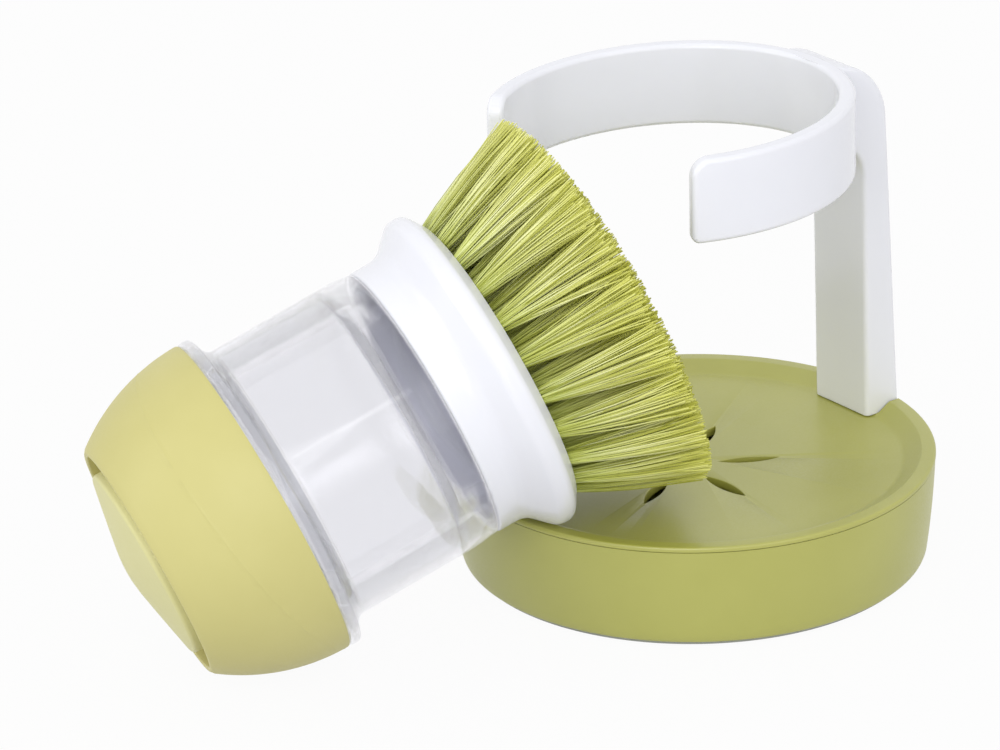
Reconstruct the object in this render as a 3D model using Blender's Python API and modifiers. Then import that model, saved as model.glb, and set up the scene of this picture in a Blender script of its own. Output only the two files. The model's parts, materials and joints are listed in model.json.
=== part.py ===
"""A palm-held pot brush that dispenses soap, leaning on its drip-tray stand.

The stand is a green cup with a slotted tray on top and a white C-shaped holder
whose post is screwed to the tray from below. The brush is a clear bottle with a
white bristle head at one end and a green screw cap at the other; a button in the
cap presses a silicone diaphragm, which pushes soap out through a valve among the
bristles. The brush lies with its cap on the table and its collar on the tray's rim.

Metres, +Z up. The origin is the centre of the stand's underside. The holder's
post is at +Y and the mouth of its ring faces -Y. Brush pieces are drawn upright
on their own axis: z = 0 is the cap's rim, +z runs to the button and -z to the
bristles.
"""

import math
import random

import bmesh
import bpy
from mathutils import Euler, Matrix, Vector

MM = 0.001
GAP = 0.3 * MM                  # between pieces that touch on the real object
OVERCUT = 1.0 * MM              # how far a cutter runs past what it cuts

# Stand: green cup, grey foot pad and slotted tray
TRAY_RADIUS = 50.0 * MM
TRAY_HEIGHT = 22.6 * MM
RIM_WIDTH = 2.94 * MM
RIM_THICKNESS = 1.1 * MM
RIM_OUTER_EDGE = 1.0 * MM       # roundings of the rim
RIM_INNER_EDGE = 0.8 * MM
DISH_DEPTH = 2.2 * MM
DISH_SLOPE = 3.7 * MM           # how far the dish's side runs inwards
DISH_CORNER = 2.5 * MM          # rounding where that side meets the floor
TRAY_WALL = 1.8 * MM
SKIRT_DEPTH = 4.0 * MM
SKIRT_WALL = 1.4 * MM
CUP_TAPER = 1.8 * MM            # how much narrower the cup's foot is than the tray
CUP_RIM_INSET = 0.1 * MM        # the cup's edge lies this far inside the tray's
CUP_WALL = 1.8 * MM
CUP_FLOOR = 1.7 * MM
CUP_BULGE = 0.27 * MM
CUP_CORNER = 1.5 * MM           # rounding inside, where wall and floor meet
CUP_CORNER_RISE = 4.0 * MM
CUP_FOOT_EDGE = 0.6 * MM
PAD_THICKNESS = 0.6 * MM
PAD_INSET = 1.2 * MM
PAD_PLUG_HEIGHT = 1.2 * MM
PAD_PLUG_INSET = 3.4 * MM
PAD_UPPER_EDGE = 0.2 * MM
PAD_LOWER_EDGE = 0.4 * MM

# Drain star in the tray
SLOT_COUNT = 6
SLOT_START = 8.5 * MM
SLOT_LENGTH = 13.0 * MM
SLOT_WIDTH = 2.8 * MM

# Holder: C-shaped ring, bridge and post
RING_HALF_X = 34.26 * MM
RING_HALF_Y = 39.49 * MM
RING_CENTRE_Y = -5.27 * MM
RING_WALL = 3.47 * MM
RING_TOP = 100.0 * MM
RING_HEIGHT = 17.5 * MM
NEAR_ARM_SWEEP = math.radians(122.5)    # from the post to the end of the arm at +X
FAR_ARM_SWEEP = math.radians(139.0)     # and of the arm at -X, which leans on the bristles
ARM_TOP_ROUNDING = 4.0 * MM
ARM_UNDER_ROUNDING = 1.6 * MM
HOLDER_EDGE = 1.0 * MM
POST_WIDTH = 16.6 * MM
POST_DEPTH = 7.2 * MM                   # at its thinnest, under the bridge
POST_DRAFT = 0.055                      # the outer face leans in as it rises
POST_INNER_DRAFT = 0.022
POST_SHOULDER = 14.2 * MM               # rounding of the outer top corner
ARCH_RADIUS = 9.0 * MM                  # hollow under the bridge
TENON_WIDTH = 13.2 * MM
TENON_DEPTH = 3.9 * MM
TENON_LENGTH = 5.5 * MM                 # below the tray's top surface
SOCKET_WALL = 1.0 * MM
SOCKET_FLOOR = 1.4 * MM
POST_FOOT_INSET = 0.7 * MM              # its foot stands this far inside the tray's edge
BRIDGE_SINK = 0.9                       # share of the ring's wall that the bridge runs into
SCREW_SPACING = 8.0 * MM
SCREW_RADIUS = 0.9 * MM
SCREW_HEAD_RADIUS = 2.0 * MM
SCREW_HEAD_HEIGHT = 1.5 * MM
SCREW_HEAD_EDGE = 0.8 * MM
SCREW_LENGTH = 10.5 * MM
SCREW_POINT = 1.0 * MM

# Cap, button and pump
CAP_RADIUS = 34.2 * MM
CAP_CURVE = 42.1 * MM                   # radius of the cap's side in section
CAP_HEIGHT = 26.1 * MM
CAP_WALL = 2.0 * MM
CAP_SHOULDER = 0.6 * MM                 # the curve ends this far under the mouth's face
CAP_MOUTH_EDGE = 0.4 * MM
CAP_MOUTH_RADIUS = 23.8 * MM
LEDGE_DEPTH = 2.4 * MM                  # of the groove round the button
LEDGE_THICKNESS = 1.2 * MM
BUTTON_RADIUS = 20.1 * MM
BUTTON_CLEARANCE = 0.5 * MM             # round it, in the ledge's bore
BUTTON_EDGE = 1.0 * MM
BUTTON_CROWN_SHARES = ((0.15, 0.05), (0.3, 0.18))   # of its radius, and of the crown lost
BUTTON_ROOF = 2.4 * MM                  # over its boss
BUTTON_SIDE_HEIGHT = 27.1 * MM
BUTTON_CROWN = 3.4 * MM
BUTTON_WALL = 1.6 * MM
BUTTON_FLANGE = 2.9 * MM
BUTTON_FLANGE_THICKNESS = 1.3 * MM
BUTTON_BOSS_RADIUS = 3.5 * MM
THREAD_ROOM = 0.4 * MM                  # between the bottle's necks and what goes over them
CORE_WALL = 1.8 * MM
CORE_FLANGE = 1.5 * MM
CORE_MOUTH_RADIUS = 21.0 * MM
GASKET_THICKNESS = 1.2 * MM
GASKET_OVERHANG = 0.5 * MM              # inside the neck's bore
DIAPHRAGM_RADIUS = 27.0 * MM
DIAPHRAGM_BEAD = 1.7 * MM
DIAPHRAGM_BEAD_WIDTH = 2.0 * MM
DIAPHRAGM_SHEET_LIFT = 0.1 * MM
DIAPHRAGM_CREASE = 0.6 * MM             # the dome starts this far outside the core's mouth
DIAPHRAGM_DISC_EDGE = 0.8 * MM
DIAPHRAGM_WALL = 1.2 * MM
DIAPHRAGM_DISC_RADIUS = 14.0 * MM
DIAPHRAGM_RISE = 8.8 * MM
CLAMP_WALL = 2.0 * MM
CLAMP_LEG = 1.2 * MM
CLAMP_OVERLAP = 1.5 * MM                # its bore is this much wider than the core's

# Bottle
BOTTLE_RADIUS = 29.9 * MM
BOTTLE_LENGTH = 36.6 * MM
BOTTLE_WALL = 2.1 * MM
BOTTLE_HEEL = 4.0 * MM                  # height of the taper to the collar
BOTTLE_HEEL_TAPER = 0.5 * MM
SHOULDER_HEIGHT = 5.5 * MM              # solid foot inside, over the head's neck
SHOULDER_SLOPE = 2.5 * MM
LIP_RADIUS = 34.3 * MM
LIP_THICKNESS = 2.9 * MM
LIP_EDGE = 0.6 * MM
LIP_FILLET = 2.6 * MM                   # hollow fillet under the lip
LIP_FILLET_HEIGHT = 1.6 * MM
LIP_SLOPE = 0.4 * MM
BOTTLE_INNER_EDGE = 0.8 * MM
CAP_NECK_RADIUS = 27.0 * MM
CAP_NECK_LENGTH = 9.3 * MM
CAP_NECK_WALL = 1.8 * MM
HEAD_NECK_RADIUS = 26.5 * MM
HEAD_NECK_LENGTH = 9.4 * MM
HEAD_NECK_WALL = 3.1 * MM
SEAL_THICKNESS = 1.1 * MM
SEAL_GROOVE_DEPTH = 1.3 * MM
SEAL_PLACE = 5.1 * MM                   # below the collar's upper edge

# Bristle head
COLLAR_RADIUS = 29.5 * MM
FLARE_RADIUS = 34.6 * MM
FLARE_START = 6.3 * MM                  # below the collar's upper edge
FLARE_HOLLOW = 4.0 * MM                 # roundings of the flare
FLARE_CREST = 3.0 * MM
COLLAR_EDGE = 0.5 * MM
FLANGE_EDGE_HEIGHT = 2.4 * MM
FLANGE_EDGE = 1.4 * MM
HEAD_FACE_EDGE = 0.6 * MM
HEAD_HEIGHT = 16.8 * MM
HEAD_FLOOR = 2.0 * MM
HEAD_FACE_RADIUS = 31.0 * MM
NOZZLE_RADIUS = 4.6 * MM
PLATE_RADIUS = 29.7 * MM
PLATE_BORE = 8.2 * MM
PLATE_THICKNESS = 3.3 * MM
SLICE_THICKNESS = 1.2 * MM
VALVE_FLANGE_RADIUS = 6.6 * MM
VALVE_FLANGE_THICKNESS = 1.0 * MM
VALVE_RADIUS = 3.8 * MM
VALVE_WALL = 0.9 * MM
VALVE_LENGTH = 3.6 * MM
RETAINER_BORE = 4.9 * MM
RETAINER_THICKNESS = 1.2 * MM

# Bristles: rings of tufts, and how far each ring splays towards its tips
TUFT_RING_RADII = {"inner": (11.7 * MM,), "middle": (17.8 * MM, 23.0 * MM), "outer": (27.6 * MM,)}
TUFT_COUNT = {"inner": (8,), "middle": (14, 18), "outer": (26,)}
TUFT_SPLAY_RATIO = {"inner": (1.33,), "middle": (1.35, 1.36), "outer": (1.42,)}
SLICE_INNER_EDGE = 14.9 * MM            # outer radius of the inner slice
SLICE_MIDDLE_EDGE = 25.3 * MM
BRISTLE_REACH = 82.7 * MM               # from the cap's rim to the longest tips
TIP_FLAT_RADIUS = 24.0 * MM             # inside this the tips are all as long
TIP_DROP = 3.2 * MM                     # how much shorter they are 18 mm further out
TIP_DROP_RUN = 18.0 * MM
STRANDS_PER_TUFT = 5
STRAND_RADIUS = 0.6 * MM
TUFT_ROOT_RADIUS = 1.2 * MM
TUFT_TIP_RADIUS = 3.0 * MM
TIP_UNEVENNESS = 0.6 * MM
ARM_PRESS_SPAN = math.radians(24.0)     # each side of where the far arm leans
ARM_PRESS_STEP = math.radians(4.0)      # between the points looked at along the arm
ARM_PRESS_STEPS = 7

# How the brush leans on the stand
BRUSH_HEADING = math.radians(73.0)
BRUSH_OFFSET = 14.0 * MM                # its axis passes this far from the centre
RIM_STATION = 41.6 * MM                 # where the rim meets it, from the cap's rim

# Facets
ROUND = 36
BRUSH_ROUND = 30
SMALL_ROUND = 24
FILLET_STEPS = 2


# Scene, collections and materials

for old in list(bpy.data.objects):
    bpy.data.objects.remove(old, do_unlink=True)

parts = bpy.data.collections.new("pot_brush")
tools = bpy.data.collections.new("cutters")
for group in (parts, tools):
    bpy.context.scene.collection.children.link(group)


def plastic(name, colour, roughness, transmission=0.0):
    """A Principled material; colour is linear RGB."""
    made = bpy.data.materials.new(name)
    made.use_nodes = True
    shader = made.node_tree.nodes["Principled BSDF"]
    shader.inputs["Base Color"].default_value = (*colour, 1.0)
    shader.inputs["Roughness"].default_value = roughness
    shader.inputs["Metallic"].default_value = 0.0
    shader.inputs["Transmission Weight"].default_value = transmission
    return made


def metal(name, colour, roughness):
    made = plastic(name, colour, roughness)
    made.node_tree.nodes["Principled BSDF"].inputs["Metallic"].default_value = 1.0
    return made


TRAY_GREEN = (0.43, 0.46, 0.12)
CAP_GREEN = (0.68, 0.65, 0.27)
BRISTLE_GREEN = (0.52, 0.54, 0.13)
WHITE = (0.80, 0.81, 0.84)
CLEAR = (0.90, 0.92, 0.93)
SILICONE = (0.70, 0.72, 0.72)
RUBBER_GREY = (0.35, 0.36, 0.34)
STEEL = (0.62, 0.62, 0.60)


# Outlines and modelling steps

def rounded(corners, closed=False, steps=FILLET_STEPS):
    """Points of an outline whose corners (x, y, radius) are rounded by arcs."""
    points = []
    count = len(corners)
    for i, corner in enumerate(corners):
        here = Vector(corner[:2])
        radius = corner[2] if len(corner) > 2 else 0.0
        at_end = not closed and i in (0, count - 1)
        if radius == 0.0 or at_end:
            points.append(here)
            continue
        back = Vector(corners[i - 1][:2]) - here
        ahead = Vector(corners[(i + 1) % count][:2]) - here
        half = back.angle(ahead) / 2
        room = [edge.length * (0.48 if len(other) > 2 and other[2] > 0.0 else 0.98)
                for edge, other in ((back, corners[i - 1]), (ahead, corners[(i + 1) % count]))]
        reach = min(radius / math.tan(half), *room)
        radius = reach * math.tan(half)
        centre = here + (back.normalized() + ahead.normalized()).normalized() * radius / math.sin(half)
        first = here + back.normalized() * reach - centre
        turn = first.angle_signed(here + ahead.normalized() * reach - centre)
        for k in range(steps + 1):
            arm = first.copy()
            arm.rotate(Matrix.Rotation(-turn * k / steps, 2))
            points.append(centre + arm)
    return points


def place(obj, group=parts):
    group.objects.link(obj)
    return obj


def as_tool(obj):
    """Hide a cutter or an operand and move it out of the parts."""
    for group in list(obj.users_collection):
        group.objects.unlink(obj)
    tools.objects.link(obj)
    obj.hide_render = True
    obj.display_type = "WIRE"
    return obj


def from_bmesh(name, bm):
    mesh = bpy.data.meshes.new(name)
    bm.to_mesh(mesh)
    bm.free()
    return place(bpy.data.objects.new(name, mesh))


def evaluated_mesh(obj):
    bpy.context.view_layer.update()
    graph = bpy.context.evaluated_depsgraph_get()
    return bpy.data.meshes.new_from_object(obj.evaluated_get(graph))


def turned(name, corners, steps=ROUND, closed=True):
    """A profile in (radius, z), down its outer side, turned about Z."""
    points = rounded(corners, closed)
    count = len(points)
    edges = [(i, i + 1) for i in range(count - 1)]
    if closed:
        edges.append((count - 1, 0))
    mesh = bpy.data.meshes.new(name)
    mesh.from_pydata([(p.x, 0.0, p.y) for p in points], edges, [])
    obj = place(bpy.data.objects.new(name, mesh))
    screw = obj.modifiers.new("turn", "SCREW")
    screw.axis = "Z"
    screw.steps = steps
    screw.render_steps = steps
    screw.use_merge_vertices = True
    screw.merge_threshold = 0.00001
    return obj


def block(name, low, high):
    """A box between two corners."""
    low, high = Vector(low), Vector(high)
    bm = bmesh.new()
    fit = Matrix.Translation((low + high) / 2) @ Matrix.Diagonal((*(high - low), 1.0))
    bmesh.ops.create_cube(bm, size=1.0, matrix=fit)
    return from_bmesh(name, bm)


def rod(name, radius, centre, low, high, sides=16):
    """An upright cylinder between two heights."""
    bm = bmesh.new()
    fit = Matrix.Translation((centre[0], centre[1], (low + high) / 2))
    bmesh.ops.create_cone(bm, cap_ends=True, segments=sides, radius1=radius, radius2=radius,
                          depth=high - low, matrix=fit)
    return from_bmesh(name, bm)


def extruded(name, outlines, half, axes=Matrix.Identity(4)):
    """Flat outlines given a thickness of twice half, then turned by axes."""
    curve = bpy.data.curves.new(name, "CURVE")
    curve.dimensions = "2D"
    curve.fill_mode = "BOTH"
    curve.extrude = half
    for points in outlines:
        spline = curve.splines.new("POLY")
        spline.points.add(len(points) - 1)
        for knot, point in zip(spline.points, points):
            knot.co = (point[0], point[1], 0.0, 1.0)
        spline.use_cyclic_u = True
    flat = place(bpy.data.objects.new(name, curve))
    mesh = evaluated_mesh(flat)
    bpy.data.objects.remove(flat, do_unlink=True)
    bm = bmesh.new()
    bm.from_mesh(mesh)
    bmesh.ops.remove_doubles(bm, verts=bm.verts, dist=0.00001)
    bmesh.ops.dissolve_limit(bm, angle_limit=math.radians(0.5), verts=bm.verts, edges=bm.edges)
    bmesh.ops.transform(bm, matrix=axes, verts=bm.verts)
    bmesh.ops.recalc_face_normals(bm, faces=bm.faces)
    return from_bmesh(name, bm)


def combine(obj, tool, operation):
    step = obj.modifiers.new(tool.name, "BOOLEAN")
    step.operation = operation
    step.solver = "EXACT"
    step.object = as_tool(tool)


def cut(obj, tool):
    combine(obj, tool, "DIFFERENCE")


def join(obj, tool):
    combine(obj, tool, "UNION")


def bevel(obj, width, segments, angle):
    step = obj.modifiers.new("edges", "BEVEL")
    step.width = width
    step.segments = segments
    step.limit_method = "ANGLE"
    step.angle_limit = angle


def finish(obj, material, parent=None):
    """Keep the modelled result as the mesh, shaded smooth between its edges."""
    mesh = evaluated_mesh(obj)
    obj.modifiers.clear()
    obj.data = mesh
    mesh.name = obj.name
    mesh.materials.clear()
    mesh.materials.append(material)
    mesh.shade_smooth()
    mesh.set_sharp_from_angle(angle=math.radians(35))
    obj.parent = parent
    return obj


def guide(name, location=(0, 0, 0), rotation=(0, 0, 0)):
    """An empty that carries the pieces of one moving group."""
    empty = place(bpy.data.objects.new(name, None))
    empty.empty_display_size = 0.02
    empty.location = location
    empty.rotation_euler = rotation
    return empty


# Shared heights of the stand

tray_top = TRAY_HEIGHT - DISH_DEPTH                 # top surface of the dish's floor
tray_under = tray_top - TRAY_WALL
rim_under = TRAY_HEIGHT - RIM_THICKNESS
cup_under = PAD_THICKNESS + GAP
cup_top = rim_under - GAP
cup_foot_radius = TRAY_RADIUS - CUP_TAPER
plug_radius = cup_foot_radius - PAD_PLUG_INSET
plug_top = PAD_THICKNESS + PAD_PLUG_HEIGHT
cup_floor = plug_top + GAP + CUP_FLOOR


def make_foot_pad():
    """Soft pad whose plug presses into the underside of the cup."""
    radius = cup_foot_radius - PAD_INSET
    pad = turned("foot_pad", (
        (0.0, plug_top),
        (plug_radius - GAP, plug_top),
        (plug_radius - GAP, PAD_THICKNESS),
        (radius, PAD_THICKNESS, PAD_UPPER_EDGE),
        (radius, 0.0, PAD_LOWER_EDGE),
        (0.0, 0.0),
    ), closed=False)
    return finish(pad, plastic("grey_tpe", RUBBER_GREY, 0.7))


def cup_side(z, inset=0.0):
    """Radius of the cup's slightly bulged side at height z."""
    t = (z - cup_under) / (cup_top - cup_under)
    straight = cup_foot_radius + (CUP_TAPER - CUP_RIM_INSET) * t
    return straight + CUP_BULGE * 4 * t * (1 - t) - inset


def cup_wall(low, high, steps, inset=0.0):
    """Points of the cup's side between two heights."""
    levels = [low + (high - low) * k / steps for k in range(steps + 1)]
    return [(cup_side(z, inset), z) for z in levels]


def make_base_cup():
    """Green cup that stands on the pad and catches what drains."""
    cup = turned("base_cup", (
        (0.0, cup_floor),
        (cup_side(cup_floor, CUP_WALL), cup_floor, CUP_CORNER),
        *cup_wall(cup_floor + CUP_CORNER_RISE, cup_top, 2, CUP_WALL),
        *cup_wall(cup_top, cup_under + CUP_FOOT_EDGE, 4),
        (cup_foot_radius - CUP_FOOT_EDGE, cup_under),
        (plug_radius, cup_under),
        (plug_radius, plug_top + GAP),
        (0.0, plug_top + GAP),
    ), closed=False)
    return finish(cup, plastic("green_tray_plastic", TRAY_GREEN, 0.45))


skirt_radius = min(TRAY_RADIUS - RIM_WIDTH, cup_side(rim_under - SKIRT_DEPTH, CUP_WALL + GAP))

# Post and tenon, in the YZ plane: the outer face lies flush with the tray's rim

post_outer_foot = TRAY_RADIUS - POST_FOOT_INSET
post_height = RING_TOP - tray_top
post_outer_top = post_outer_foot - POST_DRAFT * post_height
arch_level = RING_TOP - RING_HEIGHT - ARCH_RADIUS
post_inner_top = post_outer_foot - POST_DRAFT * (arch_level - tray_top) - POST_DEPTH
post_inner_foot = post_inner_top + POST_INNER_DRAFT * (arch_level - tray_top)
tenon_under = tray_top - TENON_LENGTH
socket_under = tenon_under - GAP - SOCKET_FLOOR
socket_half = TENON_WIDTH / 2 + GAP + SOCKET_WALL
socket_reach = cup_side(socket_under, CUP_WALL + GAP)
socket_back = math.sqrt(socket_reach ** 2 - socket_half ** 2)
tenon_back = socket_back - SOCKET_WALL - GAP
tenon_front = tenon_back - TENON_DEPTH
screw_y = (tenon_front + tenon_back) / 2


def drain_slot(angle):
    """Lens-shaped outline of one slot, from two arcs."""
    half = SLOT_LENGTH / 2
    radius = (half ** 2 + (SLOT_WIDTH / 2) ** 2) / SLOT_WIDTH
    sweep = math.asin(half / radius)
    points = []
    for side in (1, -1):
        for k in range(6):
            a = sweep * (1 - 2 * k / 6)
            x = SLOT_START + half + side * radius * math.sin(a)
            y = side * (radius * math.cos(a) - (radius - SLOT_WIDTH / 2))
            points.append((x * math.cos(angle) - y * math.sin(angle),
                           x * math.sin(angle) + y * math.cos(angle) + RING_CENTRE_Y))
    return points


def make_drip_tray(parent):
    """Slotted tray that closes the cup, with the socket for the holder's tenon."""
    rim_inner = TRAY_RADIUS - RIM_WIDTH
    tray = turned("drip_tray", (
        (0.0, tray_top),
        (rim_inner - DISH_SLOPE, tray_top, DISH_CORNER),
        (rim_inner, TRAY_HEIGHT, RIM_INNER_EDGE),
        (TRAY_RADIUS, TRAY_HEIGHT, RIM_OUTER_EDGE),
        (TRAY_RADIUS, rim_under),
        (skirt_radius, rim_under),
        (skirt_radius, rim_under - SKIRT_DEPTH),
        (skirt_radius - SKIRT_WALL, rim_under - SKIRT_DEPTH),
        (skirt_radius - SKIRT_WALL, tray_under),
        (0.0, tray_under),
    ), closed=False)
    half = TENON_WIDTH / 2 + GAP
    join(tray, block("socket", (-socket_half, tenon_front - GAP - SOCKET_WALL, socket_under),
                     (socket_half, socket_back, tray_under + TRAY_WALL / 2)))
    cut(tray, block("tenon_room", (-half, tenon_front - GAP, tenon_under - GAP),
                    (half, tenon_back + GAP, TRAY_HEIGHT + OVERCUT)))
    notch = POST_WIDTH / 2 + GAP
    cut(tray, block("rim_notch", (-notch, post_inner_foot - GAP, tray_top),
                    (notch, TRAY_RADIUS + OVERCUT, TRAY_HEIGHT + OVERCUT)))
    angles = [2 * math.pi * k / SLOT_COUNT for k in range(SLOT_COUNT)]
    star = extruded("drain_star", [drain_slot(a) for a in angles], TRAY_WALL,
                    Matrix.Translation((0, 0, tray_top - TRAY_WALL / 2)))
    cut(tray, star)
    for side in (-1, 1):
        cut(tray, rod("screw_way", SCREW_RADIUS + GAP, (side * SCREW_SPACING / 2, screw_y),
                      socket_under - OVERCUT, tenon_under))
    return finish(tray, plastic("green_dish_plastic", TRAY_GREEN, 0.5), parent)


def oval(angle, inset):
    """Point of the ring's outline, moved inwards by inset."""
    radius = 1 / math.hypot(math.cos(angle) / RING_HALF_X, math.sin(angle) / RING_HALF_Y) - inset
    return (radius * math.cos(angle), RING_CENTRE_Y + radius * math.sin(angle))


def make_ring():
    """The open ring, with its arms' ends rounded."""
    steps = 36
    end_step = 1.2 * ARM_TOP_ROUNDING / (RING_HALF_X - RING_WALL)    # flat, for the rounding
    first, last = FAR_ARM_SWEEP - end_step, end_step - NEAR_ARM_SWEEP
    sweeps = [first + (last - first) * k / steps for k in range(steps + 1)]
    sweeps = [math.pi / 2 + a for a in (FAR_ARM_SWEEP, *sweeps, -NEAR_ARM_SWEEP)]
    outline = [oval(a, 0.0) for a in sweeps] + [oval(a, RING_WALL) for a in reversed(sweeps)]
    ring = extruded("holder", [outline], RING_HEIGHT / 2,
                    Matrix.Translation((0, 0, RING_TOP - RING_HEIGHT / 2)))
    ends = [Vector(oval(math.pi / 2 + a, RING_WALL / 2)) for a in (FAR_ARM_SWEEP, -NEAR_ARM_SWEEP)]
    bm = bmesh.new()
    bm.from_mesh(ring.data)
    for height, rounding, steps in ((RING_TOP, ARM_TOP_ROUNDING, 4),
                                    (RING_TOP - RING_HEIGHT, ARM_UNDER_ROUNDING, 2)):
        end_edges = []
        for edge in bm.edges:
            middle = (edge.verts[0].co + edge.verts[1].co) / 2
            level = abs(edge.verts[0].co.z - edge.verts[1].co.z) < GAP
            at_end = any((middle.xy - end).length < GAP for end in ends)
            if level and at_end and abs(middle.z - height) < GAP:
                end_edges.append(edge)
        bmesh.ops.bevel(bm, geom=end_edges, offset=rounding, segments=steps, profile=0.5,
                        affect="EDGES")
    bm.to_mesh(ring.data)
    bm.free()
    bevel(ring, HOLDER_EDGE, 2, math.radians(50))
    return ring


def make_holder(parent):
    """White ring, bridge and post in one moulding, with a tenon under the post."""
    ring = make_ring()
    foot = tray_top + GAP
    rim_foot = cup_top + GAP
    foot_step = skirt_radius - GAP
    in_wall = RING_CENTRE_Y + RING_HALF_Y - BRIDGE_SINK * RING_WALL
    side = rounded((
        (post_inner_foot, foot),
        (post_inner_top, arch_level + ARCH_RADIUS, ARCH_RADIUS),
        (in_wall, arch_level + ARCH_RADIUS),
        (in_wall, RING_TOP),
        (post_outer_top, RING_TOP, POST_SHOULDER),
        (post_outer_foot, rim_foot),
        (foot_step, rim_foot),
        (foot_step, foot),
    ), closed=True, steps=6)
    upright = Matrix(((0, 0, 1, 0), (1, 0, 0, 0), (0, 1, 0, 0), (0, 0, 0, 1)))
    post = extruded("post", [side], POST_WIDTH / 2, upright)
    bm = bmesh.new()
    bm.from_mesh(post.data)
    long_edges = []
    for edge in bm.edges:
        one, two = (v.co for v in edge.verts)
        along_side = abs(one.x - two.x) < GAP
        at_joint = min(one.y, two.y) < in_wall + GAP or max(one.z, two.z) < rim_foot + GAP
        if along_side and not at_joint:
            long_edges.append(edge)
    bmesh.ops.bevel(bm, geom=long_edges, offset=HOLDER_EDGE, segments=2, profile=0.5,
                    affect="EDGES")
    bm.to_mesh(post.data)
    bm.free()
    join(ring, post)
    half = TENON_WIDTH / 2
    join(ring, block("tenon", (-half, tenon_front, tenon_under),
                     (half, tenon_back, foot + TENON_DEPTH)))
    for side_sign in (-1, 1):
        cut(ring, rod("pilot", SCREW_RADIUS + GAP, (side_sign * SCREW_SPACING / 2, screw_y),
                      tenon_under - OVERCUT, socket_under + SCREW_LENGTH + OVERCUT))
    return finish(ring, plastic("white_abs", WHITE, 0.25), parent)


def make_holder_screw(name, side, parent):
    """Pan-head screw that goes up through the socket into the tenon."""
    head_top = socket_under - GAP
    head_under = head_top - SCREW_HEAD_HEIGHT
    screw = turned(name, (
        (0.0, head_top + SCREW_LENGTH),
        (SCREW_RADIUS / 2, head_top + SCREW_LENGTH),
        (SCREW_RADIUS, head_top + SCREW_LENGTH - SCREW_POINT),
        (SCREW_RADIUS, head_top),
        (SCREW_HEAD_RADIUS, head_top),
        (SCREW_HEAD_RADIUS, head_under, SCREW_HEAD_EDGE),
        (0.0, head_under),
    ), steps=12, closed=False)
    finish(screw, metal("stainless_steel_" + name, STEEL, 0.3), parent)
    screw.location = (side * SCREW_SPACING / 2, screw_y, 0.0)
    return screw


# Shared levels of the brush, measured along its axis

lip_top = -GAP                                       # under the cap's rim
neck_top = lip_top + CAP_NECK_LENGTH
gasket_under = neck_top + GAP
core_ceiling = gasket_under + GASKET_THICKNESS + GAP
core_top = core_ceiling + CORE_FLANGE
bead_under = core_top + GAP
bead_top = bead_under + DIAPHRAGM_BEAD
clamp_under = bead_top + GAP
disc_top = bead_under + DIAPHRAGM_RISE
ledge_top = CAP_HEIGHT - LEDGE_DEPTH
ledge_under = ledge_top - LEDGE_THICKNESS
flange_top = ledge_under - GAP
bottle_end = lip_top - BOTTLE_LENGTH
collar_top = bottle_end - GAP
neck_end = bottle_end - HEAD_NECK_LENGTH
head_floor_top = neck_end - GAP
head_floor_under = head_floor_top - HEAD_FLOOR
head_face = collar_top - HEAD_HEIGHT
plate_top = head_floor_under - GAP
slice_top = plate_top - PLATE_THICKNESS - GAP
slice_under = slice_top - SLICE_THICKNESS
core_radius = CAP_NECK_RADIUS + THREAD_ROOM


def cap_side(z, inset=0.0):
    """Radius of the cap's side at height z, from its curve."""
    return CAP_RADIUS - CAP_CURVE + math.sqrt(CAP_CURVE ** 2 - z ** 2) - inset


def cap_curve(low, high, steps, inset=0.0):
    """Points of the cap's side between two heights."""
    levels = [low + (high - low) * k / steps for k in range(steps + 1)]
    return [(cap_side(z, inset), z) for z in levels]


def make_cap_shell(parent):
    """Soft-touch dome with a ledge inside its mouth that keeps the button in."""
    ledge_bore = BUTTON_RADIUS + BUTTON_CLEARANCE
    shell = turned("cap_shell", (
        *cap_curve(CAP_HEIGHT - CAP_SHOULDER, 0.0, 7),
        *cap_curve(0.0, ledge_under, 4, CAP_WALL),
        (ledge_bore, ledge_under),
        (ledge_bore, ledge_top),
        (CAP_MOUTH_RADIUS, ledge_top),
        (CAP_MOUTH_RADIUS, CAP_HEIGHT, CAP_MOUTH_EDGE),
        (cap_side(CAP_HEIGHT) - CAP_MOUTH_EDGE, CAP_HEIGHT, CAP_MOUTH_EDGE),
    ), steps=BRUSH_ROUND)
    return finish(shell, plastic("soft_touch_green", CAP_GREEN, 0.5), parent)


def make_cap_core(parent):
    """Ring inside the cap that screws on the bottle's neck and seats the pump."""
    outer = core_radius + CORE_WALL
    core = turned("cap_core", (
        (cap_side(core_top, CAP_WALL) - GAP, core_top),
        (cap_side(core_top, CAP_WALL) - GAP, core_ceiling),
        (outer, core_ceiling),
        (outer, GAP + CORE_FLANGE),
        (cap_side(GAP + CORE_FLANGE, CAP_WALL) - GAP, GAP + CORE_FLANGE),
        (cap_side(GAP + CORE_FLANGE, CAP_WALL) - GAP, GAP),
        (core_radius, GAP),
        (core_radius, core_ceiling),
        (CORE_MOUTH_RADIUS, core_ceiling),
        (CORE_MOUTH_RADIUS, core_top),
    ), steps=SMALL_ROUND)
    return finish(core, plastic("white_polypropylene", WHITE, 0.4), parent)


def make_cap_gasket(parent):
    """Flat silicone ring between the bottle's neck and the cap."""
    inner = CAP_NECK_RADIUS - CAP_NECK_WALL - GASKET_OVERHANG
    gasket = turned("cap_gasket", (
        (CAP_NECK_RADIUS, gasket_under + GASKET_THICKNESS),
        (CAP_NECK_RADIUS, gasket_under),
        (inner, gasket_under),
        (inner, gasket_under + GASKET_THICKNESS),
    ), steps=SMALL_ROUND)
    return finish(gasket, plastic("gasket_silicone", SILICONE, 0.6), parent)


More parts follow.
